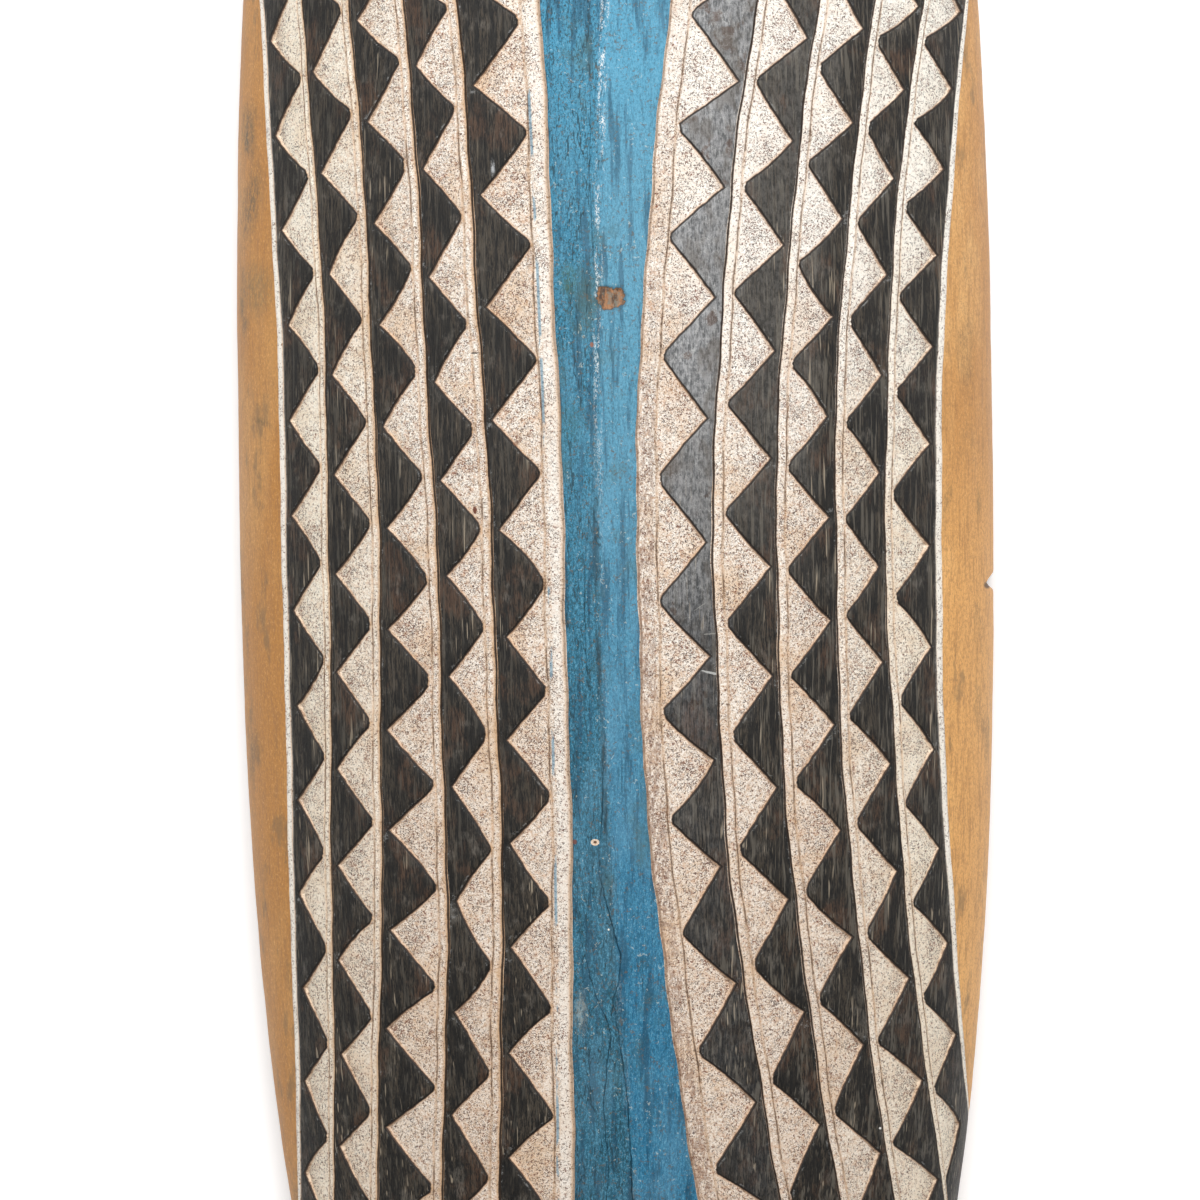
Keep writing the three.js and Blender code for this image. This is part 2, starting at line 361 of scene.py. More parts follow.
def sidePath(start, end, bow, shares, dice):
    along = end - start
    normal = Vector((-along.y, along.x)).normalized()
    path = []
    for share in shares:
        push = bow * 4 * share * (1 - share)
        if 0 < share < 1:
            push += dice.normal(0, 0.11)
        path.append(start + along * share + normal * push)
    return path


def addTooth(side, layout, tooth, dice):
    low2, high2, tip2 = tooth["low"], tooth["high"], tooth["tip"]
    steps = carving["sideSteps"]
    even = np.linspace(0, 1, steps + 1)
    lowShares = np.concatenate([[0, tooth["blunt"][0]], even[2:]])
    highShares = np.concatenate([even[:-2], [1 - tooth["blunt"][1], 1]])
    lowSide = sidePath(low2, tip2, tooth["bow"][0], lowShares, dice)
    highSide = sidePath(tip2, high2, tooth["bow"][1], highShares, dice)
    outline = lowSide + highSide[1:]
    depthShare = np.concatenate([lowShares, 1 - highShares[1:]])
    centre = (low2 + high2 + tip2) / 3
    floor, shoulder = [], []
    for i, p in enumerate(outline):
        before, after = outline[max(i - 1, 0)], outline[min(i + 1, len(outline) - 1)]
        along = (after - before).normalized()
        normal = Vector((-along.y, along.x))
        if normal.dot(centre - p) < 0:
            normal = -normal
        deep = depthShare[i]
        widen = 1.9 if i == steps else 1.0
        floor.append(p + normal * (0.3 + (carving["wallWidth"] - 0.3) * deep) * widen)
        worn = carving["roundWidth"] * (0.45 + 0.55 * min(1, 3 * deep)) * min(widen, 1.4)
        shoulder.append(p - normal * worn)
    depth = carving["toothDepth"] * (1 + 0.12 * dice.normal())
    sinks = carving["footDepth"] + (depth - carving["footDepth"]) * depthShare
    ids = layout.line(outline, carving["roundDepth"], 1.0)
    layout.line(floor, sinks, 0.5 + 0.2 * depthShare)
    layout.line(shoulder, 0.0, 0.45)
    tooth.update(outline=outline, floor=floor, depth=depth, ids=ids)


def buildTeeth(layout):
    dice = np.random.default_rng(7)
    made = {}
    for side in columns:
        for number in range(len(columns[side])):
            row = []
            for count in range(-carving["mostTeeth"], carving["mostTeeth"] + 1):
                tooth = toothShape(side, number, count, dice)
                if tooth:
                    addTooth(side, layout, tooth, dice)
                    row.append(tooth)
            for below, above in zip(row[:-1], row[1:]):
                # blunt black corner, pushed a little towards the foot
                a, b = below["outline"][-2], above["outline"][1]
                nose = (a + b) / 2 - Vector((outward(side) * dice.uniform(0.1, 1.0), 0))
                corner = layout.add(nose.x, nose.y, carving["roundDepth"], 1.0)
                layout.links += [(below["ids"][-2], corner), (corner, above["ids"][1])]
                above["corner"] = [below["high"], a, nose, b, above["low"]]
            made[side, number] = row
    return made


def buildLines(layout):
    # every groove that runs down the face, as the lips that bound it
    made = {}
    for side in columns:
        out = outward(side)
        last = len(columns[side])
        rows = []
        for number in range(last + 1):
            seed = 300 + 10 * number + (5 if side == "left" else 0)
            across = lambda y, n=number: columnEdge(side, n, y)
            stopDepth = carving["stopDepth"] * (0.5 if number == 0 else 1)
            stop = strip(side, layout, across, carving["stopWidth"], stopDepth, 1.0, seed)
            wide = carving["borderStrip"] if number == 0 else carving["columnStrip"]
            if number == last:
                wide = carving["outerStrip"]
            across = lambda y, n=number, w=wide: columnEdge(side, n, y) + out * w
            scribeWidth = carving["scribeWidth"] * (0.6 if number == last else 1)
            scribe = strip(side, layout, across, scribeWidth, carving["scribeDepth"], 0.9, seed + 1)
            rows.append((stop, scribe))
        made[side] = rows
    return made


def samplesAlong(pairs, step):
    # points along straight stretches, about a step apart
    samples = []
    for (ua, va), (ub, vb) in pairs:
        steps = max(1, int(math.hypot(ub - ua, vb - va) / step))
        samples += [(ua + (ub - ua) * i / steps, va + (vb - va) * i / steps) for i in range(steps)]
    return samples


def nearestOf(points):
    tree = KDTree(len(points))
    for i, (u, v) in enumerate(points):
        tree.insert((u, v, 0), i)
    tree.balance()
    return lambda u, v: tree.find((u, v, 0))[2]


def awayFrom(paths, flat):
    # distance of every point from the nearest of some lines
    away = nearestOf(samplesAlong([pair for path in paths for pair in zip(path[:-1], path[1:])], 0.6))
    return np.array([min(away(u, v), carving["reach"]) for u, v in flat])


# creases and drying cracks down the centre band, in mm
cracks = [
    {"width": 0.8, "path": [(-14, -246), (-9, -269), (-6, -280), (-1, -300), (-2, -313), (-5, -323),
                            (-8, -341)]},
    {"width": 0.7, "path": [(-25, -284), (-21, -300), (-18, -313), (-15, -323), (-9, -336), (-7, -344),
                            (-9, -358), (-12, -385), (-9, -420), (-14, -470)]},
    {"width": 0.9, "path": [(-5, -323), (-4, -336), (-2, -349), (-1, -358), (2, -381), (4, -438),
                            (2, -490)]},
    {"width": 0.4, "path": [(12, -298), (11, -311), (12, -326)]},
    {"width": 0.7, "path": [(-10, -186), (-10, -205), (-11, -226), (-12, -240)]},
    {"width": 0.35, "path": [(-18, -60), (-19, -100), (-18, -150)]},
    {"width": 0.4, "path": [(-12, 195), (-13, 140), (-11, 80)]},
]
paintChip = {"x": -2.4, "y": 73.6, "halfWidth": 6.3, "halfHeight": 6.2, "depth": 0.5, "seed": 11}
nailHole = {"x": -14.7, "y": -234.2, "radius": 0.8, "ring": 1.9, "depth": 3.2}


def buildCracks(layout):
    for number, crack in enumerate(cracks):
        dice = np.random.default_rng(30 + number)
        path = np.array(crack["path"], float)
        steps = max(4, int((path[0, 1] - path[-1, 1]) / 3))
        y = np.linspace(path[0, 1], path[-1, 1], steps + 1)
        x = np.interp(-y, -path[:, 1], path[:, 0]) + dice.normal(0, 0.22, steps + 1)
        u = flatAcross(x, y)
        taper = np.sin(np.linspace(0, math.pi, steps + 1)) ** 0.6 * dice.uniform(0.5, 1.2, steps + 1)
        half = 0.5 * crack["width"] * taper + 0.05
        for lean, sink, mark in ((-1, 0.0, 0.2), (0, 0.8, 0.9), (1, 0.0, 0.2)):
            layout.line(list(zip(u + lean * half, y)), sink * crack["width"] * taper, mark)


def buildChip(layout):
    dice = np.random.default_rng(paintChip["seed"])
    turns = np.linspace(0, 2 * math.pi, 44, endpoint=False)
    ragged = 1 + 0.07 * dice.normal(size=len(turns))
    ragged += 0.06 * np.sin(3 * turns + 1.0) + 0.08 * np.sin(5 * turns + 4.0)
    square = (np.abs(np.cos(turns)) ** 3 + np.abs(np.sin(turns)) ** 3) ** (-1 / 3)
    centreU = flatAcross(paintChip["x"], paintChip["y"])
    rings = []
    for scale, sink, edge in ((1.0, 0.0, 0.6), (0.86, paintChip["depth"], 0.2)):
        u = centreU + paintChip["halfWidth"] * square * ragged * scale * np.cos(turns)
        v = paintChip["y"] + paintChip["halfHeight"] * square * ragged * scale * np.sin(turns)
        layout.line(list(zip(u, v)), sink, edge, closed=True)
        rings.append(np.stack([u, v], 1))
    return rings


def buildNailHole(layout):
    turns = np.linspace(0, 2 * math.pi, 14, endpoint=False)
    centreU = flatAcross(nailHole["x"], nailHole["y"])
    rings = []
    for radius, sink, edge in ((nailHole["ring"], 0.0, 0.0), (nailHole["radius"], 0.1, 0.6),
                               (nailHole["radius"] * 0.8, nailHole["depth"], 1.0)):
        u = centreU + radius * np.cos(turns)
        v = nailHole["y"] + radius * np.sin(turns)
        layout.line(list(zip(u, v)), sink, edge, closed=True)
        rings.append(np.stack([u, v], 1))
    layout.add(centreU, nailHole["y"], nailHole["depth"], 1.0)
    return rings


def insidePolygon(px, py, polygon):
    inside = np.zeros(len(px), bool)
    ring = np.asarray(polygon, float)
    ax, ay = ring[:, 0], ring[:, 1]
    bx, by = np.roll(ax, -1), np.roll(ay, -1)
    for x0, y0, x1, y1 in zip(ax, ay, bx, by):
        if y0 != y1:
            crosses = (y0 > py) != (y1 > py)
            inside ^= crosses & (px < (x1 - x0) * (py - y0) / (y1 - y0) + x0)
    return inside


def fillPoints(layout, spacing, coarse, fine):
    # loose points between the drawn lines, on a shaken triangular grid
    dice = np.random.default_rng(21)
    away = nearestOf(samplesAlong([(layout.points[a], layout.points[b]) for a, b in layout.links], 1.4))
    rows = []
    y = -yEnd + 0.6 * spacing
    odd = False
    while y < yEnd - 0.5 * spacing:
        step = spacing if fine[0] < y < fine[1] else coarse
        left, right = flatLimit("left", y), flatLimit("right", y)
        u = np.arange(left + 0.6 * step + (0.5 * step if odd else 0), right - 0.5 * step, step)
        v = y + dice.uniform(-0.22, 0.22, len(u)) * step
        u = u + dice.uniform(-0.22, 0.22, len(u)) * step
        for a, b in zip(u, v):
            if away(a, b) > 0.5 * step:
                rows.append((a, b))
        y += step * 0.87
        odd = not odd
    for a, b in rows:
        layout.add(a, b)
    return len(rows)


def within(u, v, ring):
    # numbers of the points that lie inside a closed outline
    ring = np.array([tuple(p) for p in ring])
    (lowU, lowV), (highU, highV) = ring.min(0), ring.max(0)
    near = np.flatnonzero((u > lowU) & (u < highU) & (v > lowV) & (v < highV))
    return near[insidePolygon(u[near], v[near], ring)]


def triangulated(layout):
    # the mesh points, its triangles, and the drawn points that each mesh point stands for
    verts, _, faces, origins, _, _ = delaunay_2d_cdt(
        [Vector(p) for p in layout.points], layout.links, [], 0, 1e-4, True)
    return np.array([tuple(v) for v in verts]), np.array(faces), origins


def placesOf(ids, origins):
    found = {wanted: i for i, source in enumerate(origins) for wanted in source}
    return [found[i] for i in ids]


def buildFace():
    layout = Layout()
    loopIds = layout.line(list(zip(loopAcross, loopY)), 0.0, 0.3, closed=True)
    lines = buildLines(layout)
    teeth = buildTeeth(layout)
    buildCracks(layout)
    chipRings = buildChip(layout)
    holeRings = buildNailHole(layout)
    drawn = len(layout.points)
    loose = fillPoints(layout, 3.2, 4.2, (-460, 270))
    print("face layout:", drawn, "drawn points,", loose, "loose points")
    flat, triangles, origins = triangulated(layout)
    sink, edge = (np.array([max([row[s] for s in source], default=0.0) for source in origins])
                  for row in (layout.sink, layout.edge))
    drawnMark = np.array([bool(s) and min(s) < drawn for s in origins])
    cu, cv = flat[triangles].mean(1).T
    keep = (cu < np.interp(cv, rightY, rightU)) & (cu > np.interp(cv, leftY, leftU)) & (np.abs(cv) < yEnd)
    triangles, cu, cv = triangles[keep], cu[keep], cv[keep]
    zone, tone = paintZones(cu, cv, lines, teeth)
    zone[insidePolygon(cu, cv, chipRings[0])] = zoneNumber["bare"]
    zone[insidePolygon(cu, cv, holeRings[0])] = zoneNumber["white"]
    # loose points on the floor of a tooth sink as far as its walls do
    for tooth in [tooth for row in teeth.values() for tooth in row]:
        inside = within(flat[:, 0], flat[:, 1], tooth["floor"])
        inside = inside[~drawnMark[inside]]
        foot = 0.5 * (tooth["low"].x + tooth["high"].x)
        share = np.clip(np.abs(flat[inside, 0] - foot) / tooth["reach"], 0, 1)
        sink[inside] = carving["footDepth"] + (tooth["depth"] - carving["footDepth"]) * share
    # distances that the paint reads: from a cut edge, and from a faint scribed crease
    cutPaths = [stop[1] for rows in lines.values() for stop, _ in rows]
    creasePaths = [scribe[1] for rows in lines.values() for _, scribe in rows]
    for row in teeth.values():
        cutPaths += [tooth["outline"][1:-1] for tooth in row]
        cutPaths += [tooth["corner"][1:-1] for tooth in row if "corner" in tooth]
    return {"flat": flat, "triangles": turnedUp(flat, triangles), "zone": zone, "sink": sink, "edge": edge,
            "near": awayFrom(cutPaths, flat), "crease": awayFrom(creasePaths, flat), "tone": tone,
            "loop": placesOf(loopIds, origins)}


def paintZones(cu, cv, lines, teeth):
    # colour zones, from the centre band outwards
    zone = np.full(len(cu), zoneNumber["blue"])
    tone = np.zeros(len(cu))  # above 0 on teeth, below 0 on the outer lines
    for side, rows in lines.items():
        out = outward(side)
        last = len(rows) - 1
        for number, (stop, scribe) in enumerate(rows):
            after = "ochre" if number == last else "black"
            for path, name in ((stop[0], "white"), (scribe[2], after)):
                path = np.array(path)
                reached = (cv >= path[0, 1]) & (cv <= path[-1, 1])
                past = out * (cu - np.interp(cv, path[:, 1], path[:, 0])) > 0
                zone[past & reached] = zoneNumber[name]
                if number == last:
                    tone[past & reached] = -0.5
    dice = np.random.default_rng(5)
    for row in teeth.values():
        for tooth in row:
            hit = within(cu, cv, tooth["outline"])
            zone[hit] = zoneNumber["white"]
            tone[hit] = dice.uniform(0.2, 1.0)
            if "corner" in tooth:
                # small white corner between the feet of two teeth
                zone[within(cu, cv, tooth["corner"])] = zoneNumber["white"]
    # no black slivers between a strip and the feet of its teeth
    for (side, number), row in teeth.items():
        back = Vector((outward(side) * 3.0, 0))
        for tooth in row:
            low2, high2 = tooth["low"], tooth["high"]
            hit = within(cu, cv, (low2 - back, low2 + back * 0.1, high2 + back * 0.1, high2 - back))
            hit = hit[np.abs(cu[hit] - low2.x) < carving["sliverReach"]]
            zone[hit[zone[hit] == zoneNumber["black"]]] = zoneNumber["white"]
        width = carving["borderStrip"] if number == 0 else carving["columnStrip"]
        past = outward(side) * (cu - columnEdge(side, number, cv)) - width - 0.5 * carving["scribeWidth"]
        zone[(zone == zoneNumber["black"]) & (past > -2.0) & (past < 0.45)] = zoneNumber["white"]
    return zone, tone


def turnedUp(flat, triangles):
    # every triangle runs anticlockwise
    a, b, c = (flat[triangles[:, i]] for i in range(3))
    area = (b[:, 0] - a[:, 0]) * (c[:, 1] - a[:, 1]) - (b[:, 1] - a[:, 1]) * (c[:, 0] - a[:, 0])
    turned = triangles.copy()
    turned[area < 0] = turned[area < 0][:, ::-1]
    return turned


# the hollow back and the grip carved across it

grip = {
    "around": 28,  # points round the section
    "between": 3,  # steps between two stations
    # half of the side view, foot to middle: palm side and finger side (y, below the roof), and half width
    "stations": [
        ((115, 0), (61, 0), 23.0),
        ((108, 6), (65.5, 6), 19.0),
        ((103, 17), (67, 15), 17.0),
        ((99, 34), (66.5, 26), 16.2),
        ((94, 52), (64, 34), 15.9),
        ((85, 64), (57, 40), 15.9),
        ((71, 69), (47, 42), 16.0),
        ((40, 71), (28, 42.5), 16.4),
        ((0, 72), (0, 42.5), 16.8),
    ],
}


def hollowShare():
    return (board["halfLength"] - board["hollowEndMargin"]) / board["halfLength"]


def hollowWidthAt(station):
    return outlineAt(station, board["halfWidth"] - board["rimWidth"], board["halfLength"])


def hollowHeightAt(station):
    share = np.clip(np.abs(station) / board["halfLength"], 0, 1)
    roof = crownAt(station * hollowShare()) + board["rimHeight"] - board["thickness"]
    return roof * np.sqrt(1 - share ** 6)


def hollowRadius(station):
    return meanRadius(hollowWidthAt(station), hollowHeightAt(station))


def gripStations():
    # finer stations of (palm point, finger point, half width), from the upper foot to the lower one
    half = grip["stations"]
    other = [((-a[0], a[1]), (-b[0], b[1]), w) for a, b, w in half[-2::-1]]
    rows = np.array([[*a, *b, w] for a, b, w in half + other], float)
    fine = []
    for i in range(len(rows) - 1):
        p0, p1, p2, p3 = (rows[min(max(i + k, 0), len(rows) - 1)] for k in (-1, 0, 1, 2))
        for step in range(grip["between"]):
            t = step / grip["between"]
            fine.append(0.5 * (2 * p1 + (p2 - p0) * t + (2 * p0 - 5 * p1 + 4 * p2 - p3) * t ** 2
                               + (3 * p1 - p0 - 3 * p2 + p3) * t ** 3))
    fine.append(rows[-1])
    return fine


def gripRing(row):
    # a rounded section: x across, y and z between the palm side and the finger side
    roof = float(hollowHeightAt(0.0))
    turns = np.linspace(0, 2 * math.pi, grip["around"], endpoint=False)
    soft = lambda value: np.sign(value) * np.abs(value) ** 0.72
    palm, finger, half = np.array([row[0], roof - row[1]]), np.array([row[2], roof - row[3]]), row[4]
    middle, reach = 0.5 * (palm + finger), 0.5 * (finger - palm)
    x = half * soft(np.cos(turns))
    yz = middle[None, :] + reach[None, :] * soft(np.sin(turns))[:, None]
    return np.stack([x, yz[:, 0], yz[:, 1]], 1)


def buildHollow():
    share = hollowShare()
    layout = Layout()
    turn = np.where(np.abs(loopTurn) > 1.2, np.sign(loopTurn) * math.pi / 2, loopTurn)
    loopIds = layout.line(list(zip(turn * hollowRadius(loopY), loopY)), 0, 0, closed=True)
    rings = [gripRing(row) for row in gripStations()]
    feet = []
    for ring in (rings[0], rings[-1]):
        station = ring[:, 1] / share
        across = np.arcsin(ring[:, 0] / hollowWidthAt(station)) * hollowRadius(station)
        foot = np.stack([across, station], 1)
        feet.append((layout.line(foot, 0, 0, closed=True), foot))
    # loose points
    dice = np.random.default_rng(31)
    away = nearestOf(list(layout.points))
    step = board["hollowStep"]
    for row, v in enumerate(np.arange(-yEnd + step, yEnd - step, step * 0.87)):
        limit = float(hollowRadius(v)) * math.pi / 2
        for u in np.arange(-limit + (0.5 * step if row % 2 else 0.9 * step), limit - 0.4 * step, step):
            a, b = u + dice.uniform(-0.2, 0.2) * step, v + dice.uniform(-0.2, 0.2) * step
            if away(a, b) > 0.6 * step:
                layout.add(a, b)
    flat, triangles, origins = triangulated(layout)
    centre = flat[triangles].mean(1)
    keep = (np.abs(centre[:, 1]) < yEnd) & (np.abs(centre[:, 0]) < hollowRadius(centre[:, 1]) * math.pi / 2)
    for _, foot in feet:
        keep &= ~insidePolygon(centre[:, 0], centre[:, 1], foot)
    return {"flat": flat, "triangles": turnedUp(flat, triangles[keep])[:, ::-1],
            "loop": placesOf(loopIds, origins), "feet": [placesOf(ids, origins) for ids, _ in feet],
            "rings": rings}


# one closed sheet: face, edge, rim, hollow and grip

wallSteps = [0.12, 0.3, 0.5, 0.7, 0.86, 0.93]  # shares of the way down the edge
rimSteps = [0.1, 0.4, 0.75]  # shares of the way in over the rim


class Sheet:
    names = ("turn", "along", "inside", "fall", "sink", "edge", "near", "crease", "ridge", "facet", "band",
             "placed")

    def __init__(self):
        self.values = {name: [] for name in self.names}
        self.place = []
        self.faces = []
        self.zone = []
        self.tone = []
        self.count = 0

    def add(self, number, place=None, **given):
        for name in self.names:
            self.values[name].append(np.broadcast_to(np.asarray(given.get(name, 0.0), float), number))
        self.place.append(np.zeros((number, 3)) if place is None else place)
        first = self.count
        self.count += number
        return np.arange(first, first + number)

    def skin(self, faces, zone, tone=0.0):
        self.faces.append(np.asarray(faces))
        self.zone.append(np.broadcast_to(zone, len(faces)))
        self.tone.append(np.broadcast_to(tone, len(faces)))

    def band(self, above, below, zone):
        # two rows of the same length joined by a closed band of triangles
        a, b = np.roll(above, -1), np.roll(below, -1)
        self.skin(np.concatenate([np.stack([a, above, below], 1), np.stack([a, below, b], 1)]), zone)


def ridgeAt(x, y):
    # height of the ridge, how far to the side of it, and how far outside the centre band
    left, right = lineAt(centreBand["left"], y), lineAt(centreBand["right"], y)
    away = (x - 0.5 * (left + right) + 1.2) / board["keelHalfWidth"]
    outside = np.maximum(left - x, x - right)
    return np.clip(1 - np.abs(away), 0, 1) * crownAt(y) / board["crownRise"], np.clip(away, -1, 1), outside


def buildSheet():
    face, hollow, sheet = buildFace(), buildHollow(), Sheet()
    y = face["flat"][:, 1]
    turn = np.clip(face["flat"][:, 0] / faceRadius(y), -math.pi / 2, math.pi / 2)
    ridge, facet, band = ridgeAt(outlineAt(y) * np.sin(turn), y)
    ids = sheet.add(len(y), turn=turn, along=y, sink=face["sink"], edge=face["edge"], near=face["near"],
                    crease=face["crease"], ridge=ridge, facet=facet, band=band)
    sheet.skin(ids[face["triangles"]], face["zone"], face["tone"])
    row = ids[face["loop"]]
    for share in wallSteps:
        lower = sheet.add(len(loop), turn=loopTurn, along=loopY, fall=share, edge=0.3 + 0.5 * share, near=8.0)
        sheet.band(row, lower, zoneNumber["ochre"])
        row = lower
    for share in rimSteps:
        lower = sheet.add(len(loop), turn=loopTurn, along=loopY, fall=1.0, inside=share,
                          edge=0.6 - 0.5 * share)
        sheet.band(row, lower, zoneNumber["back"])
        row = lower
    station = hollow["flat"][:, 1]
    turn = np.clip(hollow["flat"][:, 0] / hollowRadius(station), -math.pi / 2, math.pi / 2)
    fall = np.zeros(len(station))
    fall[hollow["loop"]] = 1.0
    ids = sheet.add(len(station), turn=turn, along=station, inside=1.0, fall=fall)
    sheet.skin(ids[hollow["triangles"]], zoneNumber["back"])
    sheet.band(row, ids[hollow["loop"]], zoneNumber["back"])
    rings = hollow["rings"]
    row = ids[hollow["feet"][0]]
    for ring in rings[1:-1]:
        lower = sheet.add(len(ring), place=ring * mm, placed=1.0, inside=1.0)
        sheet.band(lower, row, zoneNumber["back"])
        row = lower
    sheet.band(ids[hollow["feet"][1]], row, zoneNumber["back"])
    return sheet


def toMesh(sheet, name):
    values = {key: np.concatenate(rows) for key, rows in sheet.values.items()}
    faces = np.concatenate(sheet.faces)
    mesh = bpy.data.meshes.new(name)
    flat = np.stack([values["turn"] * board["halfWidth"] * mm, values["along"] * mm, -values["sink"] * mm], 1)
    mesh.vertices.add(len(flat))
    mesh.vertices.foreach_set("co", flat.astype(np.float32).ravel())
    mesh.loops.add(faces.size)
    mesh.loops.foreach_set("vertex_index", faces.astype(np.int32).ravel())
    mesh.polygons.add(len(faces))
    mesh.polygons.foreach_set("loop_start", np.arange(0, faces.size, 3, dtype=np.int32))
    mesh.update(calc_edges=True)
    for key, row in values.items():
        scale = mm if key in ("along", "sink") else 1.0
        attribute = mesh.attributes.new(key, "FLOAT", "POINT")
        attribute.data.foreach_set("value", (row * scale).astype(np.float32))
    place = mesh.attributes.new("place", "FLOAT_VECTOR", "POINT")
    place.data.foreach_set("vector", np.concatenate(sheet.place).astype(np.float32).ravel())
    zone = mesh.attributes.new("zone", "INT", "FACE")
    zone.data.foreach_set("value", np.concatenate(sheet.zone).astype(np.int32))
    tone = mesh.attributes.new("tone", "FLOAT", "FACE")
    tone.data.foreach_set("value", np.concatenate(sheet.tone).astype(np.float32))
    return mesh


# node helpers

def plug(tree, value, socket):
    # a wire where there is one, a fixed value where there isn't
    if hasattr(value, "is_output"):
        tree.links.new(value, socket)
    else:
        socket.default_value = value


def node(tree, kind, inputs=None, **settings):
    made = tree.nodes.new(kind)
    for key, value in settings.items():
        setattr(made, key, value)
    for key, value in (inputs or {}).items():
        plug(tree, value, made.inputs[key])
    return made


def maths(tree, operation, *terms, clamp=False):
    # more than two terms are taken one after another
    if len(terms) > 2:
        terms = (maths(tree, operation, *terms[:-1]), terms[-1])
    made = node(tree, "ShaderNodeMath", operation=operation, use_clamp=clamp)
    for socket, term in zip(made.inputs, terms):
        plug(tree, term, socket)
    return made.outputs[0]


def vectorMath(tree, operation, *terms):
    made = node(tree, "ShaderNodeVectorMath", operation=operation)
    sockets = [made.inputs[0], made.inputs["Scale"]] if operation == "SCALE" else list(made.inputs)
    for socket, term in zip(sockets, terms):
        plug(tree, term, socket)
    return made.outputs[0]


# the tree that bends the flat layout to the board

def newTree(name, kind, sockets):
    tree = bpy.data.node_groups.new(name, kind)
    for label, way, socketType, value in sockets:
        socket = tree.interface.new_socket(label, in_out=way, socket_type=socketType)
        if value is not None:
            socket.default_value = value
    return tree, tree.nodes.new("NodeGroupInput").outputs, tree.nodes.new("NodeGroupOutput").inputs


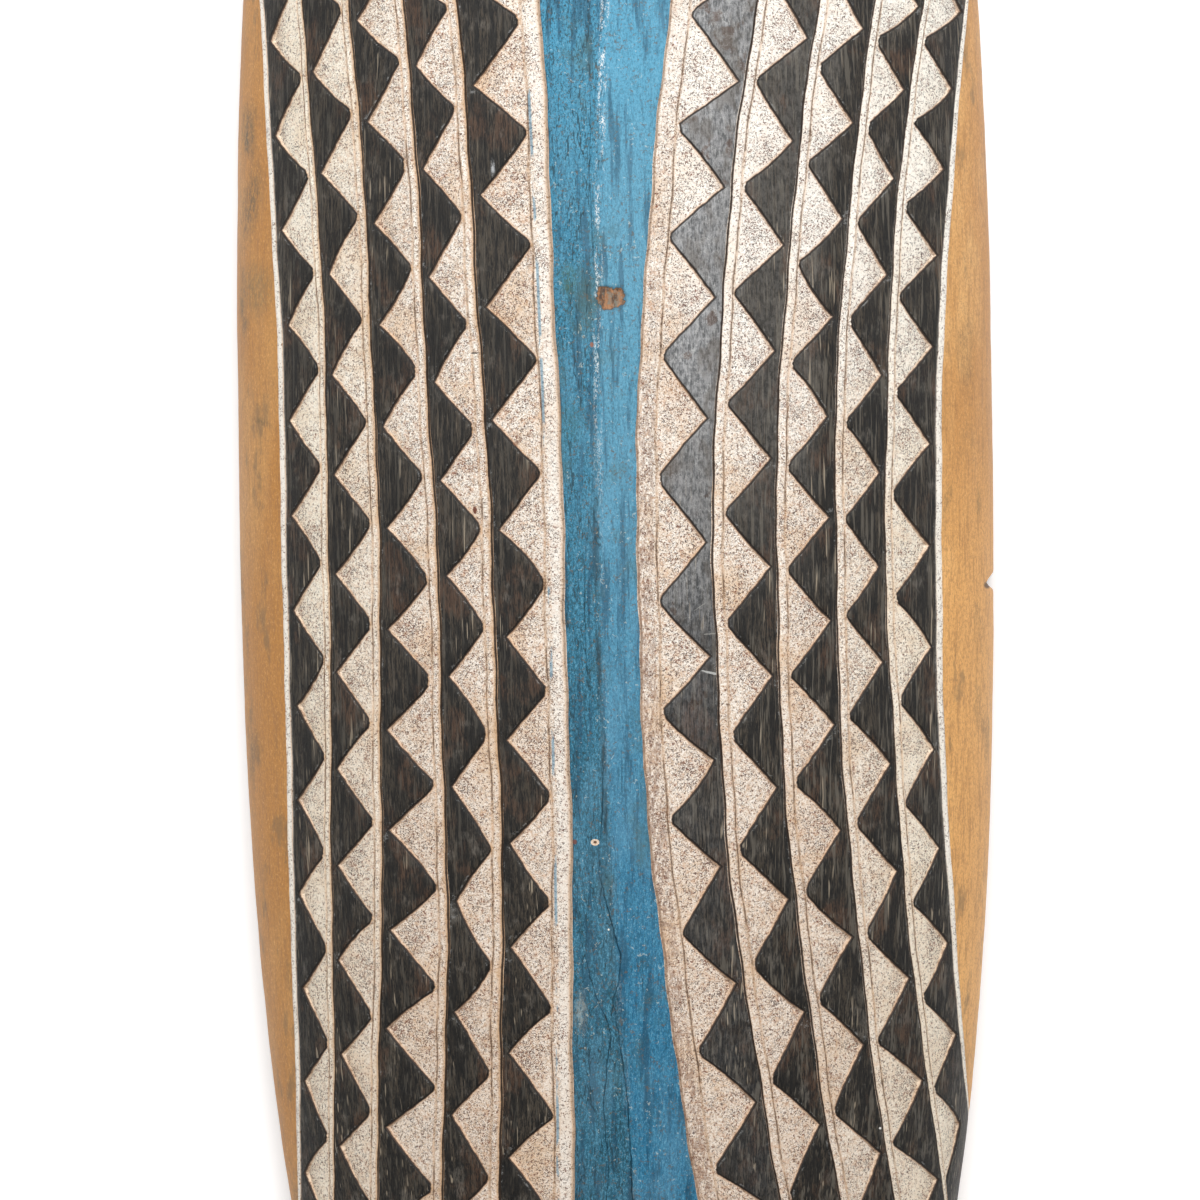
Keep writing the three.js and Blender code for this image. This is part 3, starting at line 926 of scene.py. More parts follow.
def bendTree():
    sizes = [(label, "INPUT", "NodeSocketFloat", value) for label, value in (
        ("Half Width", 0.215), ("Half Length", 0.76), ("Outline Power", 2.5), ("Crown Rise", 0.118),
        ("Crown Power", 2.2), ("Crown Blend", 0.75), ("Rim Height", 0.018), ("Rim Width", 0.014),
        ("Thickness", 0.015), ("Hollow Share", 0.97), ("Keel Rise", 0.0035), ("Cut Depth", 1.0),
        ("Hand Wave", 0.0006), ("Tool Marks", 0.0008), ("Seed", 0.0))]
    tree, given, result = newTree("bendBoard", "GeometryNodeTree",
                                  [("Geometry", "OUTPUT", "NodeSocketGeometry", None),
                                   ("Geometry", "INPUT", "NodeSocketGeometry", None)] + sizes)
    m = lambda operation, *terms: maths(tree, operation, *terms)
    read = lambda name, kind="FLOAT": node(tree, "GeometryNodeInputNamedAttribute", {"Name": name},
                                           data_type=kind).outputs[0]
    turn, along, inside, fall = read("turn"), read("along"), read("inside"), read("fall")

    def squared(share, power, blend):
        return m("POWER", m("SUBTRACT", 1.0, m("POWER", share, power)), blend)

    share = m("DIVIDE", m("ABSOLUTE", along), given["Half Length"])
    bulge = squared(share, given["Outline Power"], m("DIVIDE", 1.0, given["Outline Power"]))
    crown = m("MULTIPLY", given["Crown Rise"], squared(share, given["Crown Power"], given["Crown Blend"]))
    sine, cosine = m("SINE", turn), m("COSINE", turn)
    outerX = m("MULTIPLY", given["Half Width"], bulge, sine)
    keel = m("MULTIPLY", read("ridge"), given["Keel Rise"])
    outerZ = m("ADD", given["Rim Height"], m("MULTIPLY", crown, cosine), keel)
    outer = node(tree, "ShaderNodeCombineXYZ", {"X": outerX, "Y": along, "Z": outerZ}).outputs[0]
    # the hollow follows the same rule, narrower, shorter and lower
    innerShare = m("MULTIPLY", share, given["Hollow Share"])
    innerCrown = squared(innerShare, given["Crown Power"], given["Crown Blend"])
    innerCrown = m("MULTIPLY", given["Crown Rise"], innerCrown)
    roof = m("SUBTRACT", m("ADD", innerCrown, given["Rim Height"]), given["Thickness"])
    roof = m("MULTIPLY", roof, squared(share, 6.0, 0.5))
    innerX = m("MULTIPLY", m("SUBTRACT", given["Half Width"], given["Rim Width"]), bulge, sine)
    innerY, innerZ = m("MULTIPLY", along, given["Hollow Share"]), m("MULTIPLY", roof, cosine)
    inner = node(tree, "ShaderNodeCombineXYZ", {"X": innerX, "Y": innerY, "Z": innerZ}).outputs[0]

    def between(a, b, factor):
        step = vectorMath(tree, "SCALE", vectorMath(tree, "SUBTRACT", b, a), factor)
        return vectorMath(tree, "ADD", a, step)

    body = between(outer, inner, inside)
    stands = m("SUBTRACT", 1.0, fall)
    upright = node(tree, "ShaderNodeCombineXYZ", {"X": 1.0, "Y": 1.0, "Z": stands}).outputs[0]
    body = vectorMath(tree, "MULTIPLY", body, upright)
    body = between(body, read("place", "FLOAT_VECTOR"), read("placed"))
    bent = node(tree, "GeometryNodeSetPosition", {"Geometry": given["Geometry"], "Position": body}).outputs[0]
    # cuts go straight in from the bent surface
    normal = tree.nodes.new("GeometryNodeInputNormal").outputs[0]
    down = m("MULTIPLY", read("sink"), given["Cut Depth"], -1.0)
    cut = node(tree, "GeometryNodeSetPosition", {
        "Geometry": bent, "Offset": vectorMath(tree, "SCALE", normal, down)}).outputs[0]
    # slow waves of hand work everywhere, scooped tool marks inside
    place = tree.nodes.new("GeometryNodeInputPosition").outputs[0]
    shift = node(tree, "ShaderNodeCombineXYZ", {"Z": given["Seed"]}).outputs[0]
    shifted = vectorMath(tree, "ADD", place, shift)
    waves = node(tree, "ShaderNodeTexNoise", {
        "Vector": shifted, "Scale": 22.0, "Detail": 3.0, "Roughness": 0.55}).outputs[0]
    wave = m("MULTIPLY", m("SUBTRACT", waves, 0.5), given["Hand Wave"], 2.0)
    stretched = vectorMath(tree, "MULTIPLY", shifted, (52.0, 20.0, 52.0))
    scoops = node(tree, "ShaderNodeTexVoronoi", {"Vector": stretched, "Scale": 1.0, "Smoothness": 0.25},
                  feature="SMOOTH_F1").outputs[0]
    marks = m("MULTIPLY", m("SUBTRACT", scoops, 0.5), given["Tool Marks"], inside)
    lift = m("MULTIPLY", m("ADD", wave, marks), stands)
    waved = node(tree, "GeometryNodeSetPosition", {
        "Geometry": cut, "Offset": vectorMath(tree, "SCALE", normal, lift)}).outputs[0]
    last = node(tree, "GeometryNodeRealizeInstances", {"Geometry": waved}).outputs[0]
    for name in zones:
        here = node(tree, "FunctionNodeCompare", {2: read("zone", "INT"), 3: zoneNumber[name]},
                    data_type="INT", operation="EQUAL").outputs[0]
        last = node(tree, "GeometryNodeSetMaterial", {
            "Geometry": last, "Selection": here, "Material": finishes[name]}).outputs[0]
    tree.links.new(last, result["Geometry"])
    return tree


def bendBoard(flatObject):
    tree = bendTree()
    modifier = flatObject.modifiers.new("bend", "NODES")
    modifier.node_group = tree
    sizes = {
        "Half Width": board["halfWidth"] * mm, "Half Length": board["halfLength"] * mm,
        "Outline Power": board["outlinePower"], "Crown Rise": board["crownRise"] * mm,
        "Crown Power": board["crownPower"], "Crown Blend": board["crownBlend"],
        "Rim Height": board["rimHeight"] * mm, "Rim Width": board["rimWidth"] * mm,
        "Thickness": board["thickness"] * mm, "Hollow Share": hollowShare(),
        "Keel Rise": board["keelRise"] * mm, "Cut Depth": 1.0, "Hand Wave": 0.0006,
        "Tool Marks": 0.0011, "Seed": 4.0,
    }
    for item in tree.interface.items_tree:
        if item.in_out == "INPUT" and item.name in sizes:
            modifier[item.identifier] = sizes[item.name]
    evaluated = flatObject.evaluated_get(bpy.context.evaluated_depsgraph_get())
    mesh = bpy.data.meshes.new_from_object(evaluated)
    bent = bpy.data.objects.new("shieldBoard", mesh)
    bpy.context.scene.collection.objects.link(bent)
    bpy.data.objects.remove(flatObject)
    return bent


# finishes

def colour(red, green, blue):
    # screen values 0 to 255 to the linear ones that shaders take
    linear = [(c / 255 / 12.92) if c / 255 <= 0.04045 else ((c / 255 + 0.055) / 1.055) ** 2.4
              for c in (red, green, blue)]
    return (*linear, 1.0)


def blend(tree, factor, first, second):
    made = node(tree, "ShaderNodeMix", data_type="RGBA", blend_type="MIX", clamp_factor=True)
    for key, value in ((0, factor), (6, first), (7, second)):
        plug(tree, value, made.inputs[key])
    return made.outputs[2]


def ramp(tree, value, start, end, low=0.0, high=1.0):
    # soft step between two levels
    levels = {"Value": value, "From Min": start, "From Max": end, "To Min": low, "To Max": high}
    return node(tree, "ShaderNodeMapRange", levels, interpolation_type="SMOOTHSTEP").outputs[0]


def attribute(tree, name):
    return node(tree, "ShaderNodeAttribute", attribute_name=name).outputs["Fac"]


def axis(tree, vector, name):
    return node(tree, "ShaderNodeSeparateXYZ", {"Vector": vector}).outputs[name]


def noise(tree, vector, scale, detail=2.0, roughness=0.6):
    return node(tree, "ShaderNodeTexNoise", {"Vector": vector, "Scale": scale, "Detail": detail,
                                             "Roughness": roughness}).outputs[0]


def drawnOut(tree, vector, length):
    # the same place, with everything on it drawn out along the board
    pull = node(tree, "ShaderNodeCombineXYZ", {"X": 1.0, "Y": maths(tree, "DIVIDE", 1.0, length), "Z": 1.0})
    return vectorMath(tree, "MULTIPLY", vector, pull.outputs[0])


def grainGroup():
    # lines of wood grain that run along the board
    tree, given, result = newTree("boardGrain", "ShaderNodeTree", [
        ("Grain", "OUTPUT", "NodeSocketFloat", None), ("Streak", "OUTPUT", "NodeSocketFloat", None),
        ("Vector", "INPUT", "NodeSocketVector", None), ("Scale", "INPUT", "NodeSocketFloat", 260.0),
        ("Length", "INPUT", "NodeSocketFloat", 22.0)])
    bend = node(tree, "ShaderNodeTexNoise", {"Vector": given["Vector"], "Scale": 7.0, "Detail": 1.0})
    bend = bend.outputs["Color"]
    wandered = vectorMath(tree, "ADD", given["Vector"], vectorMath(tree, "SCALE", bend, 0.012))
    pulled = drawnOut(tree, wandered, given["Length"])
    fine = noise(tree, pulled, given["Scale"], 3.0, 0.7)
    broad = noise(tree, pulled, maths(tree, "MULTIPLY", given["Scale"], 0.22), 4.0, 0.6)
    tree.links.new(fine, result["Grain"])
    tree.links.new(broad, result["Streak"])
    return tree


def speckleGroup():
    # small pits where paint missed the rough wood: dots and short crooked strokes, in loose clusters
    tree, given, result = newTree("pittedPaint", "ShaderNodeTree", [
        ("Mask", "OUTPUT", "NodeSocketFloat", None),
        ("Vector", "INPUT", "NodeSocketVector", None), ("Scale", "INPUT", "NodeSocketFloat", 560.0),
        ("Amount", "INPUT", "NodeSocketFloat", 0.4)])
    m = lambda *terms, **more: maths(tree, *terms, **more)
    cluster = noise(tree, given["Vector"], 60.0, 3.0, 0.65)
    level = m("ADD", given["Amount"], m("MULTIPLY", m("SUBTRACT", cluster, 0.5), 2.2))
    cells = node(tree, "ShaderNodeTexVoronoi", {"Vector": given["Vector"], "Scale": given["Scale"]})
    chance = node(tree, "ShaderNodeSeparateColor", {"Color": cells.outputs["Color"]}).outputs
    size = m("MULTIPLY", m("SUBTRACT", level, chance[0]), 0.9, clamp=True)
    dots = ramp(tree, m("SUBTRACT", m("MULTIPLY", size, 0.6), cells.outputs["Distance"]), -0.03, 0.08)
    winding = noise(tree, given["Vector"], m("MULTIPLY", given["Scale"], 0.6), 1.0, 0.5)
    line = ramp(tree, m("ABSOLUTE", m("SUBTRACT", winding, 0.5)), 0.06, 0.02)
    broken = noise(tree, given["Vector"], m("MULTIPLY", given["Scale"], 0.5), 1.0, 0.5)
    strokes = m("MULTIPLY", line, ramp(tree, m("ADD", broken, m("MULTIPLY", level, 0.2)), 0.6, 0.66))
    tree.links.new(m("MAXIMUM", dots, strokes), result["Mask"])
    return tree


def patchGroup():
    # broad stains, longer along the board than across it
    tree, given, result = newTree("stainPatches", "ShaderNodeTree", [
        ("Mask", "OUTPUT", "NodeSocketFloat", None),
        ("Vector", "INPUT", "NodeSocketVector", None), ("Scale", "INPUT", "NodeSocketFloat", 14.0),
        ("Stretch", "INPUT", "NodeSocketFloat", 2.5), ("Level", "INPUT", "NodeSocketFloat", 0.55),
        ("Softness", "INPUT", "NodeSocketFloat", 0.1)])
    cloud = noise(tree, drawnOut(tree, given["Vector"], given["Stretch"]), given["Scale"], 6.0, 0.62)
    top = maths(tree, "ADD", given["Level"], given["Softness"])
    tree.links.new(ramp(tree, cloud, given["Level"], top), result["Mask"])
    return tree


effects = {"grain": grainGroup(), "speckle": speckleGroup(), "patch": patchGroup()}


def effect(tree, name, **inputs):
    made = tree.nodes.new("ShaderNodeGroup")
    made.node_tree = effects[name]
    for key, value in inputs.items():
        plug(tree, value, made.inputs[key])
    return made.outputs


def mark(at, half, shade, strength, turn=0, soft=0.25):
    return {"at": at, "half": half, "shade": shade, "strength": strength, "turn": turn, "soft": soft}


# small stains, dots, nicks and scratches on each paint, and a few painted highlights on the black: place and
# half size in mm, turned by degrees
marks = {
    "white": [
        mark((-80.4, -45.2), (1.3, 2.3), (112, 56, 36), 0.95),
        mark((-79.3, 43.7), (2.8, 0.45), (46, 36, 30), 0.9),
        mark((25.1, -216.5), (5.0, 3.2), (142, 100, 68), 0.6, soft=0.6),
        mark((33.0, 21.0), (9.0, 8.0), (206, 158, 112), 0.45, soft=0.8),
        mark((-57.0, -8.0), (5.0, 1.1), (128, 84, 62), 0.6, turn=35),
    ],
    "blue": [
        mark((-26.1, -234.0), (1.2, 1.6), (112, 62, 44), 0.85),
        mark((-13.1, 47.2), (1.2, 1.4), (150, 92, 62), 0.8),
        mark((-26.0, 84.0), (5.0, 10.0), (64, 96, 74), 0.6, soft=0.7),
        mark((-14.5, -240.5), (4.6, 3.4), (34, 62, 72), 0.6, soft=0.7),
        mark((12.5, -303.0), (5.0, 4.0), (34, 70, 84), 0.6, turn=30, soft=0.7),
        mark((-7.7, -283.9), (0.6, 0.6), (236, 236, 226), 0.9),
        mark((-24.0, -331.0), (4.0, 13.0), (168, 170, 160), 0.5, soft=0.8),
        mark((-26.0, 4.0), (9.0, 14.0), (52, 98, 100), 0.45, soft=0.8),
    ],
    "black": [
        # two painted highlights: soft pale glossy spots
        mark((-67.9, 148.5), (1.2, 4.6), (210, 212, 214), 0.6, soft=0.8),
        mark((-67.0, 127.4), (1.4, 4.2), (190, 190, 190), 0.6, soft=0.8),
        # painted highlight along a small ledge across the black
        mark((52.5, -139.2), (5.8, 0.7), (190, 190, 186), 0.75, turn=-14),
        mark((46.5, -101.5), (4.6, 0.3), (150, 148, 142), 0.5, turn=34),
        mark((52.0, -117.0), (4.2, 0.4), (150, 148, 142), 0.6, turn=4),
        mark((146.5, -401.6), (0.7, 0.7), (240, 238, 232), 0.9),
        mark((-50.0, 76.0), (4.0, 2.0), (8, 7, 6), 0.8, turn=10, soft=0.6),
    ],
    "ochre": [
        mark((-209.0, 134.0), (6.0, 24.0), (82, 76, 58), 0.75, turn=-10, soft=0.8),
        mark((-206.0, 84.0), (11.0, 16.0), (112, 100, 68), 0.6, soft=0.8),
        mark((-204.0, 8.0), (7.0, 2.0), (96, 78, 50), 0.6, turn=-24, soft=0.8),
        mark((190.0, -42.0), (2.5, 12.0), (124, 100, 62), 0.55, turn=-12, soft=0.8),
        mark((209.0, -44.0), (1.8, 10.0), (120, 98, 62), 0.55, soft=0.8),
    ],
}


def addMarks(tree, vector, base, zone):
    uneven = noise(tree, vector, 520.0, 3.0, 0.8)
    dusty = ramp(tree, noise(tree, drawnOut(tree, vector, 2.5), 520.0, 4.0, 0.95), 0.42, 0.56, 0.1, 1.0)
    for spot in marks[zone]:
        away = vectorMath(tree, "SUBTRACT", vector, (spot["at"][0] * mm, spot["at"][1] * mm, 0.0))
        turned = node(tree, "ShaderNodeVectorRotate", {"Vector": away, "Angle": -math.radians(spot["turn"])},
                      rotation_type="Z_AXIS")
        across, up = spot["half"]
        sized = vectorMath(tree, "MULTIPLY", turned.outputs[0], (1 / (across * mm), 1 / (up * mm), 0.0))
        length = node(tree, "ShaderNodeVectorMath", {0: sized}, operation="LENGTH").outputs["Value"]
        waver = maths(tree, "MULTIPLY", maths(tree, "SUBTRACT", uneven, 0.5), 1.2)
        length = maths(tree, "ADD", length, waver)
        soft = spot["soft"]
        mask = ramp(tree, length, 1.0 + 0.5 * soft, 1.0 - soft, 0.0, spot["strength"])
        if soft > 0.5:
            mask = maths(tree, "MULTIPLY", mask, dusty)
        base = blend(tree, mask, base, colour(*spot["shade"]))
    return base


def startFinish(name):
    made = bpy.data.materials.new(name)
    made.use_nodes = True
    tree = made.node_tree
    tree.nodes.clear()
    surface = tree.nodes.new("ShaderNodeBsdfPrincipled")
    output = tree.nodes.new("ShaderNodeOutputMaterial")
    tree.links.new(surface.outputs[0], output.inputs[0])
    vector = tree.nodes.new("ShaderNodeTexCoord").outputs["Object"]
    return made, tree, surface, vector


def setSurface(tree, surface, base, rough, height, strength, distance=0.0006):
    tree.links.new(base, surface.inputs["Base Color"])
    tree.links.new(rough, surface.inputs["Roughness"])
    bump = node(tree, "ShaderNodeBump", {"Strength": strength, "Distance": distance, "Height": height})
    tree.links.new(bump.outputs[0], surface.inputs["Normal"])


def whitePaint():
    made, tree, surface, vector = startFinish("whitePaint")
    m = lambda *terms: maths(tree, *terms)
    near, crease, tone = attribute(tree, "near"), attribute(tree, "crease"), attribute(tree, "tone")
    deep, band, facet = attribute(tree, "sink"), attribute(tree, "band"), attribute(tree, "facet")
    height = axis(tree, vector, "Y")
    tooth, onLeft = ramp(tree, tone, 0.05, 0.15), ramp(tree, facet, -0.5, -0.7)
    grain = effect(tree, "grain", Vector=vector, Scale=300.0, Length=3.0)
    grit = noise(tree, vector, 1100.0, 2.0, 0.9)
    mottle = noise(tree, vector, 260.0, 4.0, 0.8)
    base = blend(tree, ramp(tree, grit, 0.34, 0.6), colour(192, 168, 142), colour(255, 248, 238))
    base = blend(tree, ramp(tree, mottle, 0.5, 0.66, 0.0, 0.7), base, colour(208, 168, 138))
    base = blend(tree, ramp(tree, mottle, 0.46, 0.34, 0.0, 0.55), base, colour(255, 252, 246))
    tan = effect(tree, "patch", Vector=vector, Scale=34.0, Stretch=1.3, Level=0.47, Softness=0.22)["Mask"]
    base = blend(tree, m("MULTIPLY", tan, 0.5), base, colour(216, 178, 136))
    base = blend(tree, m("MULTIPLY", m("SUBTRACT", tone, 0.4), 0.22), base, colour(202, 164, 126))
    base = blend(tree, ramp(tree, height, 0.1, -0.4, 0.0, 0.3), base, colour(200, 164, 130))
    # the outer columns are painted whiter, and the top of the first right column gets a painted highlight
    # where the crown faces the light
    across = axis(tree, vector, "X")
    base = blend(tree, ramp(tree, m("ABSOLUTE", across), 0.1, 0.19, 0.0, 0.5), base, colour(255, 246, 224))
    paintedCrownHighlight = m("MULTIPLY", ramp(tree, across, 0.02, 0.05), ramp(tree, height, -0.06, 0.12))
    base = blend(tree, m("MULTIPLY", paintedCrownHighlight, 0.5), base, colour(255, 253, 246))
    # pits are crowded at the points of the teeth and few on the strips
    amount = m("ADD", 0.5, m("ADD", m("MULTIPLY", deep, 110.0), m("MULTIPLY", tone, 0.08)))
    clean = ramp(tree, near, 0.6, 2.0, 0.5, 1.0)
    speckle = effect(tree, "speckle", Vector=vector, Scale=1380.0, Amount=m("MULTIPLY", amount, clean))
    warm = blend(tree, ramp(tree, mottle, 0.4, 0.6), colour(60, 26, 18), colour(124, 62, 40))
    base = blend(tree, m("MULTIPLY", speckle["Mask"], 0.9), base, warm)
    # the walls and the scribed crease show tan wood, with a dark line at the foot of the cut
    wander = m("MULTIPLY", m("SUBTRACT", mottle, 0.5), 3.0)
    away = m("ADD", near, wander, ramp(tree, tooth, 0, 1, 0.8, 0))
    base = blend(tree, ramp(tree, away, 1.9, 0.8, 0.0, 0.55), base, colour(212, 174, 138))
    # painted shade: the strips on the left roll off into shadow at their cut edges
    paintedRollShade = m("MULTIPLY", m("SUBTRACT", 1.0, tooth), onLeft)
    paintedRollShade = m("MULTIPLY", paintedRollShade, ramp(tree, away, 3.2, 1.5, 0.0, 0.7))
    base = blend(tree, paintedRollShade, base, colour(196, 154, 110))
    base = blend(tree, ramp(tree, away, 0.95, 0.45, 0.0, 0.6), base, colour(150, 104, 70))
    line = ramp(tree, m("ADD", near, m("MULTIPLY", wander, 0.25)), 0.68, 0.34, 0.0, 0.95)
    line = m("MULTIPLY", line, ramp(tree, band, 0.8, 2.0, 0.45, 1.0))
    base = blend(tree, line, base, colour(40, 26, 18))
    groove = m("ADD", crease, m("MULTIPLY", wander, 0.6))
    base = blend(tree, ramp(tree, groove, 1.1, 0.3, 0.0, 0.45), base, colour(196, 158, 120))
    lost = ramp(tree, grain["Streak"], 0.44, 0.54, 0.0, 0.75)
    base = blend(tree, m("MULTIPLY", ramp(tree, groove, 0.5, 0.15), lost), base, colour(92, 66, 46))
    # the strip right of the band is stained brown
    soiled = m("MULTIPLY", ramp(tree, band, 9.5, 8.0), ramp(tree, facet, 0.5, 0.7))
    crumbs = noise(tree, drawnOut(tree, vector, 3.0), 420.0, 4.0, 0.9)
    soiled = m("MULTIPLY", soiled, ramp(tree, crumbs, 0.44, 0.56))
    soiled = m("MULTIPLY", soiled, ramp(tree, height, 0.12, -0.06, 0.3, 1.0))
    base = blend(tree, m("MULTIPLY", soiled, 0.62), base, colour(134, 96, 74))
    # blue smeared into the crease beside the band, on its left
    smear = m("MULTIPLY", ramp(tree, m("ABSOLUTE", m("SUBTRACT", band, 8.6)), 1.1, 0.5), onLeft)
    smear = m("MULTIPLY", smear, ramp(tree, grain["Streak"], 0.5, 0.56))
    base = blend(tree, m("MULTIPLY", smear, 0.7), base, colour(96, 150, 176))
    # the strip left of the band and the two outer lines are painted whiter
    beside = m("MULTIPLY", ramp(tree, band, 8.0, 6.5), onLeft)
    outer = ramp(tree, tone, -0.2, -0.3)
    fresh = m("MAXIMUM", m("MULTIPLY", beside, 0.7), outer)
    fresh = m("MULTIPLY", fresh, ramp(tree, near, 0.7, 1.3, 0.2, 0.62))
    base = blend(tree, m("MULTIPLY", fresh, m("SUBTRACT", 1.0, speckle["Mask"])), base, colour(246, 242, 234))
    base = addMarks(tree, vector, base, "white")
    rough = m("ADD", 0.66, m("MULTIPLY", speckle["Mask"], 0.15))
    bumps = m("SUBTRACT", m("ADD", grit, mottle), speckle["Mask"])
    setSurface(tree, surface, base, rough, bumps, 0.8)
    return made


def blackWood():
    made, tree, surface, vector = startFinish("blackWood")
    m = lambda *terms: maths(tree, *terms)
    near, band, facet = attribute(tree, "near"), attribute(tree, "band"), attribute(tree, "facet")
    height = axis(tree, vector, "Y")
    fibre = noise(tree, drawnOut(tree, vector, 11.0), 900.0, 3.0, 0.95)
    coarse = effect(tree, "grain", Vector=vector, Scale=200.0, Length=16.0)
    rubbed = effect(tree, "patch", Vector=vector, Scale=42.0, Stretch=1.6, Level=0.52, Softness=0.12)["Mask"]
    dusty = effect(tree, "patch", Vector=vector, Scale=90.0, Stretch=1.4, Level=0.54, Softness=0.16)["Mask"]
    base = blend(tree, ramp(tree, fibre, 0.4, 0.62), colour(7, 6, 5), colour(66, 58, 48))
    base = blend(tree, ramp(tree, coarse["Grain"], 0.56, 0.44, 0.0, 0.75), base, colour(9, 8, 7))
    brown = m("MULTIPLY", rubbed, ramp(tree, fibre, 0.4, 0.6, 0.15, 0.9))
    base = blend(tree, m("MULTIPLY", brown, 0.8), base, colour(84, 60, 44))
    dusty = m("MULTIPLY", dusty, ramp(tree, fibre, 0.42, 0.6, 0.1, 0.6))
    base = blend(tree, dusty, base, colour(110, 104, 96))
    lines = ramp(tree, noise(tree, drawnOut(tree, vector, 18.0), 480.0, 2.0, 0.7), 0.54, 0.64)
    base = blend(tree, m("MULTIPLY", lines, ramp(tree, facet, -0.5, 0.5, 0.3, 0.6)), base, colour(98, 92, 82))
    # thin pale scratches along the grain
    scratch = ramp(tree, noise(tree, drawnOut(tree, vector, 22.0), 700.0, 1.0, 0.5), 0.66, 0.72)
    scratch = m("MULTIPLY", scratch, ramp(tree, coarse["Streak"], 0.46, 0.56))
    base = blend(tree, m("MULTIPLY", scratch, 0.7), base, colour(160, 146, 126))
    # painted sheen: the column right of the centre band is painted a light grey standing in for the
    # reflection of the lights, most of it higher up
    paintedSheen = m("MULTIPLY", ramp(tree, band, 56, 46), ramp(tree, facet, 0.2, 0.5))
    paintedSheen = m("MULTIPLY", paintedSheen, ramp(tree, height, -0.2, -0.04, 0.12, 1.0))
    cloud = noise(tree, drawnOut(tree, vector, 2.0), 60.0, 3.0, 0.7)
    soft = noise(tree, drawnOut(tree, vector, 1.8), 420.0, 4.0, 0.8)
    sheenGrey = blend(tree, ramp(tree, m("ADD", m("MULTIPLY", fibre, 0.45), m("MULTIPLY", soft, 0.55)), 0.4, 0.6),
                 colour(78, 80, 82), colour(168, 169, 171))
    bare = effect(tree, "patch", Vector=vector, Scale=70.0, Stretch=1.3, Level=0.57, Softness=0.05)["Mask"]
    sheenGrey = blend(tree, m("MULTIPLY", bare, 0.7), sheenGrey, colour(84, 58, 44))
    # painted glints: fine creases in the painted sheen are painted pale
    paintedGlint = m("ABSOLUTE", m("SUBTRACT", noise(tree, vector, 130.0, 4.0, 0.7), 0.5))
    paintedGlint = m("MULTIPLY", ramp(tree, paintedGlint, 0.02, 0.006), ramp(tree, soft, 0.46, 0.56))
    sheenGrey = blend(tree, m("MULTIPLY", paintedGlint, 0.6), sheenGrey, colour(206, 206, 204))
    sheenGrey = blend(tree, ramp(tree, cloud, 0.5, 0.36, 0.0, 0.6), sheenGrey, colour(82, 74, 66))
    lift = m("ADD", 0.6, ramp(tree, height, -0.05, 0.04, 0.0, 0.35))
    lift = m("MULTIPLY", lift, ramp(tree, band, 54, 24, 0.72, 1.06))
    base = blend(tree, m("MULTIPLY", paintedSheen, lift), base, sheenGrey)
    # a weaker painted sheen on the next column out, higher up
    second = m("MULTIPLY", ramp(tree, band, 106, 94), ramp(tree, facet, 0.2, 0.5))
    second = m("MULTIPLY", second, ramp(tree, height, -0.12, 0.0, 0.0, 0.3))
    second = m("MULTIPLY", second, ramp(tree, soft, 0.42, 0.6, 0.3, 1.0))
    base = blend(tree, second, base, colour(124, 120, 114))
    # painted highlights along the black edges, in places, where the rounded edges would catch the light
    paintedEdgeHighlight = m("MULTIPLY", ramp(tree, near, 1.8, 1.1), ramp(tree, near, 0.5, 0.8))
    paintedEdgeHighlight = m("MULTIPLY", paintedEdgeHighlight, ramp(tree, noise(tree, vector, 140.0, 5.0, 0.95), 0.55, 0.62))
    base = blend(tree, m("MULTIPLY", paintedEdgeHighlight, 0.5), base, colour(150, 150, 148))
    base = blend(tree, ramp(tree, near, 0.7, 0.3, 0.0, 0.9), base, colour(12, 8, 6))
    base = addMarks(tree, vector, base, "black")
    rough = m("ADD", m("SUBTRACT", 0.42, m("MULTIPLY", paintedSheen, 0.1)), m("MULTIPLY", coarse["Streak"], 0.22))
    rough = m("SUBTRACT", rough, ramp(tree, near, 2.0, 0.8, 0.0, 0.1))
    bumps = m("ADD", m("MULTIPLY", fibre, 0.9), m("MULTIPLY", coarse["Streak"], 0.9))
    setSurface(tree, surface, base, rough, bumps, 0.7, 0.0009)
    surface.inputs["Specular IOR Level"].default_value = 0.34
    return made


